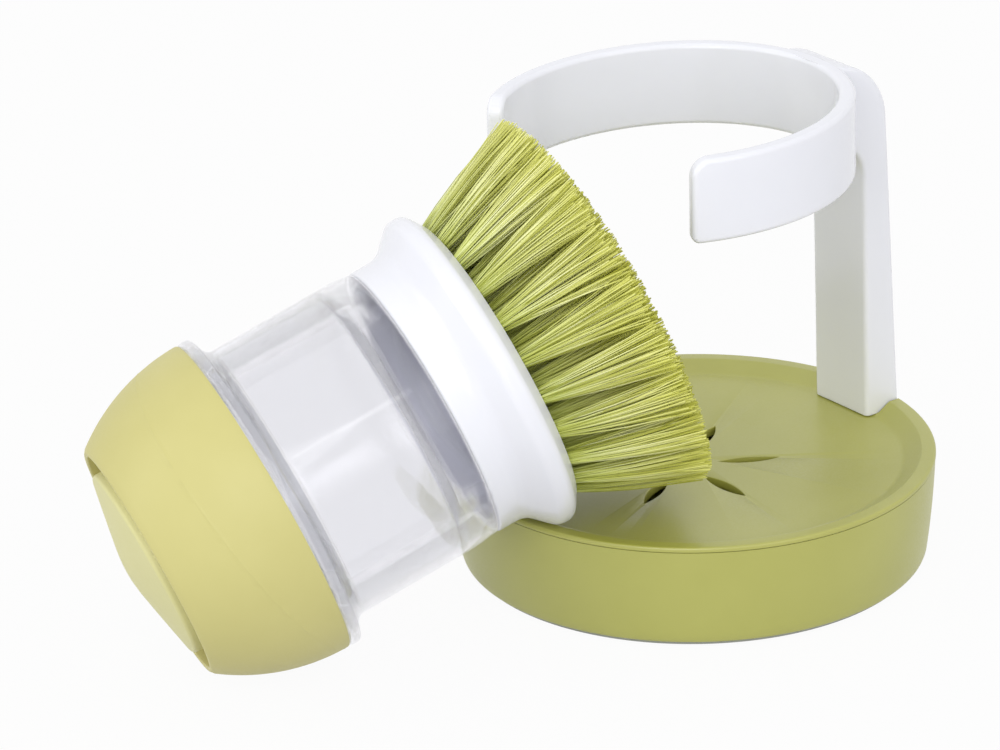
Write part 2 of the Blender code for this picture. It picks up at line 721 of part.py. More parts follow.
def make_diaphragm(parent):
    """Silicone dome: the button pushes its disc in and it springs back."""
    bead_inner = DIAPHRAGM_RADIUS - DIAPHRAGM_BEAD_WIDTH
    sheet_under = bead_under + DIAPHRAGM_SHEET_LIFT
    sheet_top = sheet_under + DIAPHRAGM_WALL
    crease = CORE_MOUTH_RADIUS + DIAPHRAGM_CREASE
    diaphragm = turned("diaphragm", (
        (0.0, disc_top),
        (DIAPHRAGM_DISC_RADIUS, disc_top, DIAPHRAGM_DISC_EDGE),
        (crease, sheet_top, DIAPHRAGM_WALL),
        (bead_inner, sheet_top),
        (bead_inner, bead_top),
        (DIAPHRAGM_RADIUS, bead_top),
        (DIAPHRAGM_RADIUS, bead_under),
        (bead_inner, bead_under),
        (bead_inner, sheet_under),
        (crease - DIAPHRAGM_WALL, sheet_under),
        (DIAPHRAGM_DISC_RADIUS - DIAPHRAGM_WALL, disc_top - DIAPHRAGM_WALL),
        (0.0, disc_top - DIAPHRAGM_WALL),
    ), steps=SMALL_ROUND, closed=False)
    return finish(diaphragm, plastic("diaphragm_silicone", SILICONE, 0.5), parent)


def make_clamp_ring(parent):
    """Ring that holds the diaphragm's bead down on the cap's core."""
    outer = DIAPHRAGM_RADIUS + GAP + CLAMP_LEG
    clamp = turned("clamp_ring", (
        (outer, clamp_under + CLAMP_WALL),
        (outer, core_top + GAP),
        (DIAPHRAGM_RADIUS + GAP, core_top + GAP),
        (DIAPHRAGM_RADIUS + GAP, clamp_under),
        (CORE_MOUTH_RADIUS + CLAMP_OVERLAP, clamp_under),
        (CORE_MOUTH_RADIUS + CLAMP_OVERLAP, clamp_under + CLAMP_WALL),
    ), steps=SMALL_ROUND)
    return finish(clamp, plastic("natural_acetal", WHITE, 0.4), parent)


def make_button(parent):
    """Crowned button whose boss rests over the diaphragm's disc."""
    crown = BUTTON_SIDE_HEIGHT + BUTTON_CROWN
    inner = BUTTON_RADIUS - BUTTON_WALL
    flange_radius = BUTTON_RADIUS + BUTTON_FLANGE
    flange_under = flange_top - BUTTON_FLANGE_THICKNESS
    boss_under = disc_top + GAP
    button = turned("button", (
        (0.0, crown),
        *((out * BUTTON_RADIUS, crown - lost * BUTTON_CROWN) for out, lost in BUTTON_CROWN_SHARES),
        (BUTTON_RADIUS, BUTTON_SIDE_HEIGHT, BUTTON_EDGE),
        (BUTTON_RADIUS, flange_top),
        (flange_radius, flange_top),
        (flange_radius, flange_under),
        (inner, flange_under),
        (inner, BUTTON_SIDE_HEIGHT - BUTTON_WALL),
        (BUTTON_BOSS_RADIUS, crown - BUTTON_ROOF),
        (BUTTON_BOSS_RADIUS, boss_under),
        (0.0, boss_under),
    ), steps=BRUSH_ROUND, closed=False)
    return finish(button, plastic("soft_touch_green_button", CAP_GREEN, 0.5), parent)


def make_bottle(parent):
    """Clear moulded body with a lip, a neck for the cap and one for the head."""
    lip_under = lip_top - LIP_THICKNESS
    inside = BOTTLE_RADIUS - BOTTLE_WALL
    cap_bore = CAP_NECK_RADIUS - CAP_NECK_WALL
    head_bore = HEAD_NECK_RADIUS - HEAD_NECK_WALL
    groove = HEAD_NECK_RADIUS - SEAL_GROOVE_DEPTH
    groove_middle = collar_top - SEAL_PLACE
    groove_half = SEAL_THICKNESS / 2 + GAP
    bottle = turned("bottle", (
        (CAP_NECK_RADIUS, neck_top),
        (CAP_NECK_RADIUS, lip_top),
        (LIP_RADIUS, lip_top, LIP_EDGE),
        (LIP_RADIUS, lip_under + LIP_EDGE, LIP_EDGE),
        (BOTTLE_RADIUS + LIP_FILLET, lip_under + LIP_SLOPE),
        (BOTTLE_RADIUS, lip_under - LIP_FILLET_HEIGHT, LIP_FILLET),
        (BOTTLE_RADIUS, bottle_end + BOTTLE_HEEL),
        (BOTTLE_RADIUS - BOTTLE_HEEL_TAPER, bottle_end, LIP_SLOPE),
        (HEAD_NECK_RADIUS, bottle_end),
        (HEAD_NECK_RADIUS, groove_middle + groove_half),
        (groove, groove_middle + groove_half),
        (groove, groove_middle - groove_half),
        (HEAD_NECK_RADIUS, groove_middle - groove_half),
        (HEAD_NECK_RADIUS, neck_end),
        (head_bore, neck_end),
        (head_bore, bottle_end + SHOULDER_HEIGHT),
        (inside, bottle_end + SHOULDER_HEIGHT + SHOULDER_SLOPE, BOTTLE_INNER_EDGE),
        (inside, lip_under - BOTTLE_INNER_EDGE, BOTTLE_INNER_EDGE),
        (cap_bore, lip_top - BOTTLE_INNER_EDGE),
        (cap_bore, neck_top),
    ), steps=BRUSH_ROUND)
    return finish(bottle, plastic("clear_copolyester", CLEAR, 0.05, 0.9), parent)


def make_head_seal(parent):
    """O-ring in the groove of the bottle's lower neck."""
    groove = HEAD_NECK_RADIUS - SEAL_GROOVE_DEPTH
    bpy.ops.mesh.primitive_torus_add(
        major_radius=groove + GAP + SEAL_THICKNESS / 2, minor_radius=SEAL_THICKNESS / 2,
        major_segments=SMALL_ROUND, minor_segments=6, location=(0, 0, 0))
    seal = bpy.context.active_object
    seal.name = "head_seal"
    for group in list(seal.users_collection):
        group.objects.unlink(seal)
    place(seal)
    seal.data.transform(Matrix.Translation((0, 0, collar_top - SEAL_PLACE)))
    return finish(seal, plastic("seal_silicone", SILICONE, 0.6), parent)


# Side of the head, as (radius, z): collar, hollow flare and rounded flange
head_side = (
    (COLLAR_RADIUS, collar_top, COLLAR_EDGE),
    (COLLAR_RADIUS, collar_top - FLARE_START, FLARE_HOLLOW),
    (FLARE_RADIUS, collar_top - FLARE_START - (FLARE_RADIUS - COLLAR_RADIUS), FLARE_CREST),
    (FLARE_RADIUS, head_face + FLANGE_EDGE_HEIGHT, FLANGE_EDGE),
    (HEAD_FACE_RADIUS, head_face, HEAD_FACE_EDGE),
)


def make_head_shell(parent):
    """White collar and flared flange, with a floor that carries the valve."""
    recess = PLATE_RADIUS + GAP
    collar_bore = HEAD_NECK_RADIUS + THREAD_ROOM
    shell = turned("head_shell", (
        *head_side,
        (recess, head_face),
        (recess, head_floor_under),
        (NOZZLE_RADIUS, head_floor_under),
        (NOZZLE_RADIUS, head_floor_top),
        (collar_bore, head_floor_top),
        (collar_bore, collar_top),
    ), steps=BRUSH_ROUND)
    return finish(shell, plastic("white_abs_head", WHITE, 0.3), parent)


def make_bristle_plate(parent):
    """Disc pressed into the head's recess, behind the slices that hold the tufts."""
    plate = turned("bristle_plate", (
        (PLATE_RADIUS, plate_top),
        (PLATE_RADIUS, plate_top - PLATE_THICKNESS),
        (PLATE_BORE, plate_top - PLATE_THICKNESS),
        (PLATE_BORE, plate_top),
    ), steps=BRUSH_ROUND)
    return finish(plate, plastic("white_plate", WHITE, 0.4), parent)


def make_outlet_valve(parent):
    """Silicone valve under the nozzle; its slit tip lets soap out but not back."""
    under = plate_top - VALVE_FLANGE_THICKNESS
    tip = under - VALVE_LENGTH + VALVE_FLANGE_THICKNESS
    bore = VALVE_RADIUS - VALVE_WALL
    valve = turned("outlet_valve", (
        (0.0, tip + VALVE_WALL),
        (bore, tip + VALVE_WALL),
        (bore, plate_top),
        (VALVE_FLANGE_RADIUS, plate_top),
        (VALVE_FLANGE_RADIUS, under),
        (VALVE_RADIUS, under),
        (VALVE_RADIUS, tip, VALVE_WALL),
        (0.0, tip),
    ), steps=SMALL_ROUND, closed=False)
    return finish(valve, plastic("valve_silicone", SILICONE, 0.5), parent)


def make_valve_retainer(parent):
    """Ring pressed in the plate's bore to hold the valve's flange."""
    top = plate_top - VALVE_FLANGE_THICKNESS - GAP
    retainer = turned("valve_retainer", (
        (PLATE_BORE - GAP, top),
        (PLATE_BORE - GAP, top - RETAINER_THICKNESS),
        (RETAINER_BORE, top - RETAINER_THICKNESS),
        (RETAINER_BORE, top),
    ), steps=SMALL_ROUND)
    return finish(retainer, plastic("white_retainer", WHITE, 0.4), parent)


# How the brush lies: its cap's side on the table, its collar on the tray's rim

def belly_height(tilt):
    """Height of the cap rim's centre when the cap's curved side meets the table."""
    return (CAP_RADIUS - CAP_CURVE) * math.cos(tilt) + CAP_CURVE


def brush_frame(tilt):
    """Where the brush's own axes are for a tilt of its axis above the table."""
    height = belly_height(tilt)
    rim_along = -math.sqrt(TRAY_RADIUS ** 2 - BRUSH_OFFSET ** 2)
    rise = TRAY_HEIGHT - height
    start = rim_along - (RIM_STATION - rise * math.sin(tilt)) / math.cos(tilt)
    along = Vector((math.cos(BRUSH_HEADING), math.sin(BRUSH_HEADING), 0))
    across = Vector((math.sin(BRUSH_HEADING), -math.cos(BRUSH_HEADING), 0))
    origin = along * start + across * BRUSH_OFFSET + Vector((0, 0, height))
    turn = Euler((math.pi / 2 + tilt, 0, BRUSH_HEADING - math.pi / 2))
    return Matrix.Translation(origin) @ turn.to_matrix().to_4x4()


def rim_clearance(tilt):
    """Least distance from the head's side to the tray's rim."""
    side = [tuple(p) for p in rounded(head_side)]
    side.insert(0, (BOTTLE_RADIUS, bottle_end + BOTTLE_HEEL))
    to_brush = brush_frame(tilt).inverted()
    least = TRAY_RADIUS
    corner = 0.29 * RIM_OUTER_EDGE
    rim = ((TRAY_RADIUS, TRAY_HEIGHT - RIM_OUTER_EDGE),
           (TRAY_RADIUS - corner, TRAY_HEIGHT - corner),
           (TRAY_RADIUS - RIM_OUTER_EDGE, TRAY_HEIGHT),
           (TRAY_RADIUS - RIM_WIDTH + RIM_INNER_EDGE / 2, TRAY_HEIGHT))
    for radius, height in rim:
        for k in range(61):
            angle = BRUSH_HEADING + math.pi + math.radians(k - 20)
            point = to_brush @ Vector((radius * math.cos(angle), radius * math.sin(angle), height))
            for (r0, z0), (r1, z1) in zip(side, side[1:]):
                if z1 <= point.z <= z0 and z0 > z1:
                    share = (z0 - point.z) / (z0 - z1)
                    least = min(least, math.hypot(point.x, point.y) - r0 - (r1 - r0) * share)
    return least


def resting_tilt():
    """Tilt at which the head lies on the rim with the usual gap."""
    low, high = math.radians(5), math.radians(45)
    for _ in range(24):
        middle = (low + high) / 2
        if rim_clearance(middle) < GAP:
            low = middle
        else:
            high = middle
    return high


# Bristles

def arm_press(frame):
    """Where the far arm's lower edge and end lean on the tufts: direction, level, radius."""
    to_brush = frame.inverted()
    end = FAR_ARM_SWEEP - ARM_UNDER_ROUNDING / RING_HALF_X
    under = RING_TOP - RING_HEIGHT
    spots = [(end - k * ARM_PRESS_STEP, RING_WALL, under) for k in range(ARM_PRESS_STEPS)]
    spots += [(FAR_ARM_SWEEP, RING_WALL * part, under + RING_HEIGHT * rise)
              for part in (0.0, 0.5, 1.0) for rise in (0.1, 0.4, 0.7)]
    points = []
    for sweep, inset, level in spots:
        spot = to_brush @ Vector((*oval(math.pi / 2 + sweep, inset), level))
        points.append((math.atan2(spot.y, spot.x), spot.z, math.hypot(spot.x, spot.y)))
    return points


def tuft_tip(x, y, splay, press):
    """Where a strand that starts at (x, y) would meet the plane of the longest tips."""
    radius = math.hypot(x, y) * splay
    angle = math.atan2(y, x)
    outer_ring = TUFT_RING_RADII["outer"][0]
    outermost = outer_ring * TUFT_SPLAY_RATIO["outer"][0] + TUFT_TIP_RADIUS + 3 * STRAND_RADIUS
    rim = outer_ring + TUFT_ROOT_RADIUS
    push = 0.0
    for press_angle, press_z, press_radius in press:
        depth = (slice_under - press_z) / (slice_under + BRISTLE_REACH)
        away = abs((angle - press_angle + math.pi) % (2 * math.pi) - math.pi)
        if 0.0 < depth < 1.0 and away < ARM_PRESS_SPAN:
            needed = (rim + (outermost - rim) * depth - press_radius + 2 * GAP) / depth
            push = max(push, needed * math.cos(away / ARM_PRESS_SPAN * math.pi / 2) ** 2)
    return radius - push * (radius / outermost) ** 2, angle


def strand(bm, root, tip):
    """One three-sided bristle from its root to its tip."""
    along = tip - root
    turn = along.to_track_quat("Z", "Y").to_matrix().to_4x4()
    bmesh.ops.create_cone(bm, cap_ends=True, segments=3, radius1=STRAND_RADIUS,
                          radius2=STRAND_RADIUS, depth=along.length,
                          matrix=Matrix.Translation((root + tip) / 2) @ turn)


def make_bristles(place, inner, outer, press, parent):
    """Ring-shaped slice of the head's face with its tufts fused into it."""
    name = "bristles_" + place
    uneven = random.Random(name)
    bm = bmesh.new()
    for ring_radius, count, splay in zip(TUFT_RING_RADII[place], TUFT_COUNT[place],
                                         TUFT_SPLAY_RATIO[place]):
        for k in range(count):
            turn = 2 * math.pi * (k + 0.5) / count
            middle = Vector((ring_radius * math.cos(turn), ring_radius * math.sin(turn)))
            spots = [(0.0, 0.0)]
            for j in range(STRANDS_PER_TUFT - 1):
                a = turn + 2 * math.pi * j / (STRANDS_PER_TUFT - 1)
                spots.append((math.cos(a), math.sin(a)))
            for dx, dy in spots:
                root = Vector((middle.x + dx * TUFT_ROOT_RADIUS, middle.y + dy * TUFT_ROOT_RADIUS,
                               slice_under + SLICE_THICKNESS / 2))
                spread = Vector((middle.x + dx * TUFT_TIP_RADIUS / splay,
                                 middle.y + dy * TUFT_TIP_RADIUS / splay))
                radius, angle = tuft_tip(spread.x, spread.y, splay, press)
                far = Vector((radius * math.cos(angle), radius * math.sin(angle), -BRISTLE_REACH))
                drop = TIP_DROP * (max(0.0, radius - TIP_FLAT_RADIUS) / TIP_DROP_RUN) ** 2
                share = 1 - (drop + uneven.uniform(0, TIP_UNEVENNESS)) / (BRISTLE_REACH + slice_under)
                strand(bm, root, root + (far - root) * share)
    tufts = from_bmesh(name + "_tufts", bm)
    slice_ring = turned(name, (
        (outer, slice_top),
        (outer, slice_under),
        (inner, slice_under),
        (inner, slice_top),
    ), steps=BRUSH_ROUND)
    join(slice_ring, tufts)
    return finish(slice_ring, plastic("green_nylon_" + name, BRISTLE_GREEN, 0.4), parent)


# Build the stand

make_foot_pad()
make_base_cup()
stand_top = guide("stand_top_group")
make_drip_tray(stand_top)
make_holder(stand_top)
make_holder_screw("holder_screw_left", -1, stand_top)
make_holder_screw("holder_screw_right", 1, stand_top)

# Build the brush on its leaning axis

tilt = resting_tilt()
frame = brush_frame(tilt)
brush_axis = guide("brush_axis", frame.to_translation(), frame.to_euler())
cap_group = guide("cap_group")
cap_group.parent = brush_axis
for make in (make_cap_shell, make_cap_core, make_diaphragm, make_clamp_ring, make_button,
             make_cap_gasket):
    make(cap_group)
for make in (make_bottle, make_head_seal, make_head_shell, make_bristle_plate,
             make_outlet_valve, make_valve_retainer):
    make(brush_axis)
press = arm_press(frame)
make_bristles("inner", PLATE_BORE + GAP, SLICE_INNER_EDGE, press, brush_axis)
make_bristles("middle", SLICE_INNER_EDGE + GAP, SLICE_MIDDLE_EDGE, press, brush_axis)
make_bristles("outer", SLICE_MIDDLE_EDGE + GAP, PLATE_RADIUS, press, brush_axis)
bpy.context.view_layer.update()
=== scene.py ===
# A pot brush that dispenses soap, lying on its drip-tray stand.
# Metres, +Z up: the stand is at the origin with its holder's post at +Y, and the
# brush lies at -Y with its cap on the table. Outlines are drawn in millimetres.

import json
import math
import random

import bpy
import numpy as np
from mathutils import Matrix, Vector


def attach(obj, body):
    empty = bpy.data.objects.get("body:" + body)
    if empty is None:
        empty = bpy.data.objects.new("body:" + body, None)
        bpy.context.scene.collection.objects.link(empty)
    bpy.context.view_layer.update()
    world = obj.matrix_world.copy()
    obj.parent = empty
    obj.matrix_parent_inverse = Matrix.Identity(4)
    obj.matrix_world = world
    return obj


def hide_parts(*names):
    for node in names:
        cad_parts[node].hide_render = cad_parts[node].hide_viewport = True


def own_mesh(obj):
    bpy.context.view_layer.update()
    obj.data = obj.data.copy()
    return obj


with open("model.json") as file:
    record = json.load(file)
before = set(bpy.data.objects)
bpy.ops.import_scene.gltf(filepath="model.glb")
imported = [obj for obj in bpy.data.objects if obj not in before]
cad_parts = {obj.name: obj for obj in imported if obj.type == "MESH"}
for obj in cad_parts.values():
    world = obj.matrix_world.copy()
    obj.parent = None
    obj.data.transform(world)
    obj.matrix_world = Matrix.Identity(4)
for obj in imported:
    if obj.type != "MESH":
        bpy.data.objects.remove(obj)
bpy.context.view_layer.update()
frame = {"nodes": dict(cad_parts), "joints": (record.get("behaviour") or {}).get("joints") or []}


# Camera: a long lens in front of the stand and to its right, a little above it.

CAMERA_PLACE = Vector((0.80391, -0.65968, 0.47895))
CAMERA_TARGET = Vector((-0.00320, -0.04710, 0.05070))
CAMERA_ROLL = math.radians(-1.42)
FOCAL_LENGTH = 198.0
SENSOR_WIDTH = 36.0

lens = bpy.data.cameras.new("camera")
lens.lens = FOCAL_LENGTH
lens.sensor_width = SENSOR_WIDTH
lens.clip_start = 0.05
camera = bpy.data.objects.new("camera", lens)
bpy.context.scene.collection.objects.link(camera)
aim = (CAMERA_TARGET - CAMERA_PLACE).to_track_quat("-Z", "Y").to_matrix().to_4x4()
camera.matrix_world = Matrix.Translation(CAMERA_PLACE) @ aim @ Matrix.Rotation(CAMERA_ROLL, 4, "Z")
bpy.context.scene.camera = camera
bpy.context.scene.view_settings.view_transform = "Standard"


# Studio: a sheet of white paper in a white room, lit by four soft boxes. The paper shows
# white to the camera, in gloss and through the bottle, and keeps the object's shadow.

LAMPS = {
    # name: place, size in metres, watts
    "soft_box_above": ((-0.35, 0.25, 1.25), 1.1, 0.2),
    "soft_box_left": ((-0.45, -1.25, 0.60), 0.8, 3.1),
    "soft_box_front": ((0.85, -0.95, 0.75), 0.8, 6.2),
    "soft_box_right": ((1.25, 0.05, 0.65), 0.8, 2.0),
}
LAMP_AIM = Vector((0.0, -0.03, 0.04))
ROOM_LIGHT = 0.77               # what the white room sends to matt surfaces
PAPER_RADIUS = 2.0
PAPER_DROP = 0.0002             # below the pad, so that their faces don't meet
PAPER_GLOW = 0.95               # share of the paper that shows plain white


def add_node(tree, kind, inputs=None, **settings):
    """Add a node with its settings; an input is a value or another node's output."""
    made = tree.nodes.new("ShaderNode" + kind)
    for name, value in settings.items():
        setattr(made, name, value)
    for name, value in (inputs or {}).items():
        if isinstance(value, bpy.types.NodeSocket):
            tree.links.new(value, made.inputs[name])
        else:
            made.inputs[name].default_value = value
    return made


def hex_colour(code):
    """Linear RGBA of an sRGB colour written as six hex digits."""
    shares = [int(code[k:k + 2], 16) / 255 for k in (0, 2, 4)]
    return tuple(s / 12.92 if s <= 0.04045 else ((s + 0.055) / 1.055) ** 2.4
                 for s in shares) + (1.0,)


def any_ray(tree, *kinds):
    """1 for rays of some kinds, given as names of Light Path's outputs, and 0 for others."""
    path = add_node(tree, "LightPath")
    found = path.outputs[kinds[0]]
    for kind in kinds[1:]:
        either = add_node(tree, "Math", {0: found, 1: path.outputs[kind]}, operation="MAXIMUM")
        found = either.outputs[0]
    return found


for name, (place, size, watts) in LAMPS.items():
    light = bpy.data.lights.new(name, "AREA")
    light.shape = "SQUARE"
    light.size = size
    light.energy = watts
    lamp = bpy.data.objects.new(name, light)
    bpy.context.scene.collection.objects.link(lamp)
    lamp.location = place
    lamp.rotation_euler = (LAMP_AIM - lamp.location).to_track_quat("-Z", "Y").to_euler()

room = bpy.data.worlds.new("white_room")
bpy.context.scene.world = room
room.use_nodes = True
tree = room.node_tree
tree.nodes.clear()
seen = any_ray(tree, "Is Camera Ray", "Is Glossy Ray", "Is Transmission Ray")
level = add_node(tree, "MapRange", {"Value": seen, "To Min": ROOM_LIGHT, "To Max": 1.0})
sky = add_node(tree, "Background", {"Color": hex_colour("FFFFFF"), "Strength": level.outputs[0]})
add_node(tree, "OutputWorld", {"Surface": sky.outputs[0]})

paper_finish = bpy.data.materials.new("white_paper")
paper_finish.use_nodes = True
tree = paper_finish.node_tree
tree.nodes.clear()
seen = any_ray(tree, "Is Camera Ray", "Is Glossy Ray", "Is Transmission Ray")
share = add_node(tree, "Math", {0: seen, 1: PAPER_GLOW}, operation="MULTIPLY")
matt = add_node(tree, "BsdfDiffuse", {"Color": hex_colour("D4D4D4")})
glow = add_node(tree, "Emission", {"Color": hex_colour("FFFFFF"), "Strength": 1.0})
both = add_node(tree, "MixShader", {0: share.outputs[0], 1: matt.outputs[0], 2: glow.outputs[0]})
add_node(tree, "OutputMaterial", {"Surface": both.outputs[0]})

bpy.ops.object.select_all(action="DESELECT")
bpy.ops.mesh.primitive_circle_add(vertices=96, radius=PAPER_RADIUS, fill_type="NGON",
                                  location=(0, 0, -PAPER_DROP))
paper = bpy.context.object
paper.name = "paper"
paper.data.materials.append(paper_finish)


# Foot pad: a soft disc of grey thermoplastic rubber under the cup, so that the stand
# doesn't slide. Injection moulded and pressed into the cup's hollow underside by its plug.

MM = 0.001
ROUND_STEPS = 160               # facets round a big turned piece
CLOSE = 0.000002                # metres: points nearer than this are one point
SIDE_SHARE = 0.98               # of an outline's side that the arcs at its ends may use
PATCH = 22.0                    # size of the soft patches in a moulded colour
PAD_RADIUS = 47.0
PAD_THICKNESS = 0.6
PAD_PLUG_RADIUS = 44.5
PAD_PLUG_TOP = 1.8


def rounded(corners, closed=True, steps=6):
    """Points of an outline whose corners (x, y, radius) are rounded by arcs."""
    points = []
    count = len(corners)
    for i, corner in enumerate(corners):
        here = Vector(corner[:2])
        radius = corner[2] if len(corner) > 2 else 0.0
        if radius == 0.0 or (not closed and i in (0, count - 1)):
            points.append(here)
            continue
        back = Vector(corners[i - 1][:2]) - here
        ahead = Vector(corners[(i + 1) % count][:2]) - here
        half = back.angle(ahead) / 2
        room = [edge.length * SIDE_SHARE / (2 if len(other) > 2 and other[2] > 0.0 else 1)
                for edge, other in ((back, corners[i - 1]), (ahead, corners[(i + 1) % count]))]
        reach = min(radius / math.tan(half), *room)
        radius = reach * math.tan(half)
        centre = here + (back.normalized() + ahead.normalized()).normalized() * radius / math.sin(half)
        first = here + back.normalized() * reach - centre
        turn = first.angle_signed(here + ahead.normalized() * reach - centre)
        for k in range(steps + 1):
            arm = first.copy()
            arm.rotate(Matrix.Rotation(-turn * k / steps, 2))
            points.append(centre + arm)
    return points


def draw(name, outline, plane="XZ"):
    """Draw an outline in millimetres, from one vertex extruded on; leaves edit mode on."""
    axes = ["XYZ".index(letter) for letter in plane]
    bpy.ops.object.select_all(action="DESELECT")
    bpy.ops.mesh.primitive_plane_add(size=MM)
    piece = bpy.context.object
    piece.name = name
    piece.data.name = name
    bpy.ops.object.mode_set(mode="EDIT")
    bpy.ops.mesh.select_mode(type="VERT")
    bpy.ops.mesh.merge(type="CENTER")
    here = Vector((0, 0, 0))
    for k, point in enumerate(outline):
        there = Vector((0, 0, 0))
        there[axes[0]], there[axes[1]] = point[0] * MM, point[1] * MM
        if k == 0:
            bpy.ops.transform.translate(value=there - here)
        else:
            bpy.ops.mesh.extrude_vertices_move(TRANSFORM_OT_translate={"value": there - here})
        here = there
    bpy.ops.mesh.select_all(action="SELECT")
    bpy.ops.mesh.remove_doubles(threshold=CLOSE)
    return piece


def pick(piece):
    """Select one piece alone and make it the active one."""
    bpy.ops.object.select_all(action="DESELECT")
    piece.select_set(True)
    bpy.context.view_layer.objects.active = piece


def smooth(piece, angle=35):
    """Shade smooth but for edges sharper than an angle in degrees."""
    pick(piece)
    bpy.ops.object.shade_smooth_by_angle(angle=math.radians(angle))


def spun(name, corners, closed=True, steps=ROUND_STEPS, fillet=6):
    """A turned piece: half its section, drawn at +X in millimetres, spun about Z."""
    outline = rounded(corners, closed, fillet)
    if closed:
        outline.append(outline[0])
    piece = draw(name, outline)
    bpy.ops.mesh.spin(steps=steps, angle=math.tau, center=(0, 0, 0), axis=(0, 0, 1))
    bpy.ops.mesh.select_all(action="SELECT")
    bpy.ops.mesh.remove_doubles(threshold=CLOSE)
    bpy.ops.mesh.normals_make_consistent(inside=False)
    bpy.ops.object.mode_set(mode="OBJECT")
    smooth(piece)
    return piece


def new_finish(name):
    """A new material, with its node tree and its Principled shader."""
    made = bpy.data.materials.new(name)
    made.use_nodes = True
    return made, made.node_tree, made.node_tree.nodes["Principled BSDF"]


def moulded(name, dark, light, roughness, grain, depth):
    """A moulded plastic or rubber: two near tones in broad soft patches, an even fine grain.

    The grain's size and depth are in millimetres."""
    made, tree, shader = new_finish(name)
    place = add_node(tree, "TexCoord").outputs["Object"]
    cloud = add_node(tree, "TexNoise", {"Vector": place, "Scale": 1 / (PATCH * MM), "Detail": 3.0})
    tones = add_node(tree, "ValToRGB", {"Fac": cloud.outputs[0]})
    tones.color_ramp.elements[0].position = 0.3
    tones.color_ramp.elements[0].color = hex_colour(dark)
    tones.color_ramp.elements[1].position = 0.7
    tones.color_ramp.elements[1].color = hex_colour(light)
    tree.links.new(tones.outputs[0], shader.inputs["Base Color"])
    fine = add_node(tree, "TexNoise", {"Vector": place, "Scale": 1 / (grain * MM), "Detail": 2.0})
    spread = add_node(tree, "MapRange", {"Value": fine.outputs[0], "From Min": 0.3, "From Max": 0.7,
                                         "To Min": roughness - 0.05, "To Max": roughness + 0.05})
    tree.links.new(spread.outputs[0], shader.inputs["Roughness"])
    bump = add_node(tree, "Bump", {"Height": fine.outputs[0], "Distance": depth * MM})
    tree.links.new(bump.outputs[0], shader.inputs["Normal"])
    return made


# Thermoplastic rubber, moulded: dull, with a slight tooth from the mould.
grey_rubber = moulded("moulded_grey_rubber", "9FA29B", "ACAFA8", 0.65, grain=0.5, depth=0.010)

foot_pad = spun("rubber_foot_pad", (
    (0.0, PAD_PLUG_TOP),
    (PAD_PLUG_RADIUS, PAD_PLUG_TOP, 0.3),
    (PAD_PLUG_RADIUS, PAD_THICKNESS),
    (PAD_RADIUS, PAD_THICKNESS, 0.2),
    (PAD_RADIUS, 0.0, 0.4),
    (0.0, 0.0),
), closed=False)
foot_pad.data.materials.append(grey_rubber)
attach(foot_pad, "base")
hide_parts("foot_pad")


# Base cup: the green bowl that stands on the pad and catches what drains from the
# brush. Injection moulded polypropylene, with a side that swells very slightly.

TRAY_RADIUS = 50.0
TRAY_HEIGHT = 22.6
RIM_THICKNESS = 1.1
PIECE_GAP = 0.3                 # between pieces that touch
CUP_FOOT_RADIUS = 48.2
CUP_TOP_INSET = 0.1             # inside the tray's edge
CUP_BULGE = 0.27
CUP_WALL = 1.8
CUP_UNDER = 0.9
RIM_SEAM = 0.1
CUP_TOP = TRAY_HEIGHT - RIM_THICKNESS - RIM_SEAM
CUP_FLOOR = 3.8
CUP_FLOOR_CURVE = 4.0           # rise of the curve from the floor to the wall
CUP_FOOT_EDGE = 0.8             # height of the small slope at the foot of the side
CUP_FOOT_TUCK = 0.2             # how far that slope goes in
CUP_PLUG_ROOM = 44.8
CUP_PLUG_CEILING = 2.1


def cup_side(height, inset=0.0):
    """Radius of the cup's slightly swollen side."""
    t = (height - CUP_UNDER) / (CUP_TOP - CUP_UNDER)
    top_radius = TRAY_RADIUS - CUP_TOP_INSET
    return CUP_FOOT_RADIUS + (top_radius - CUP_FOOT_RADIUS) * t + CUP_BULGE * 4 * t * (1 - t) - inset


def side_points(side, start, end, steps, inset=0.0):
    """Outline points along a curved side, from one height to another."""
    heights = [start + (end - start) * k / steps for k in range(steps + 1)]
    return [(side(z, inset), z) for z in heights]


# Polypropylene, moulded: satin, waxy, with the mould's fine spark-eroded grain.
green_polypropylene = moulded("satin_green_polypropylene", "AAAA4C", "B0B054", 0.36,
                              grain=0.45, depth=0.006)
shader = green_polypropylene.node_tree.nodes["Principled BSDF"]
shader.inputs["Specular IOR Level"].default_value = 1.0

base_cup = spun("green_base_cup", (
    (0.0, CUP_FLOOR),
    (cup_side(CUP_FLOOR, CUP_WALL), CUP_FLOOR, 1.5),
    *side_points(cup_side, CUP_FLOOR + CUP_FLOOR_CURVE, CUP_TOP, 6, CUP_WALL),
    *side_points(cup_side, CUP_TOP, CUP_UNDER + CUP_FOOT_EDGE, 14),
    (CUP_FOOT_RADIUS - CUP_FOOT_TUCK, CUP_UNDER, 0.5),
    (CUP_PLUG_ROOM, CUP_UNDER),
    (CUP_PLUG_ROOM, CUP_PLUG_CEILING),
    (0.0, CUP_PLUG_CEILING),
), closed=False)
base_cup.data.materials.append(green_polypropylene)
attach(base_cup, "base")
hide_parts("base_cup")


# Drip tray: the slotted lid of the cup, with a shallow dish, a rounded rim that laps
# the cup, and a socket under it for the holder's foot. One polypropylene moulding.

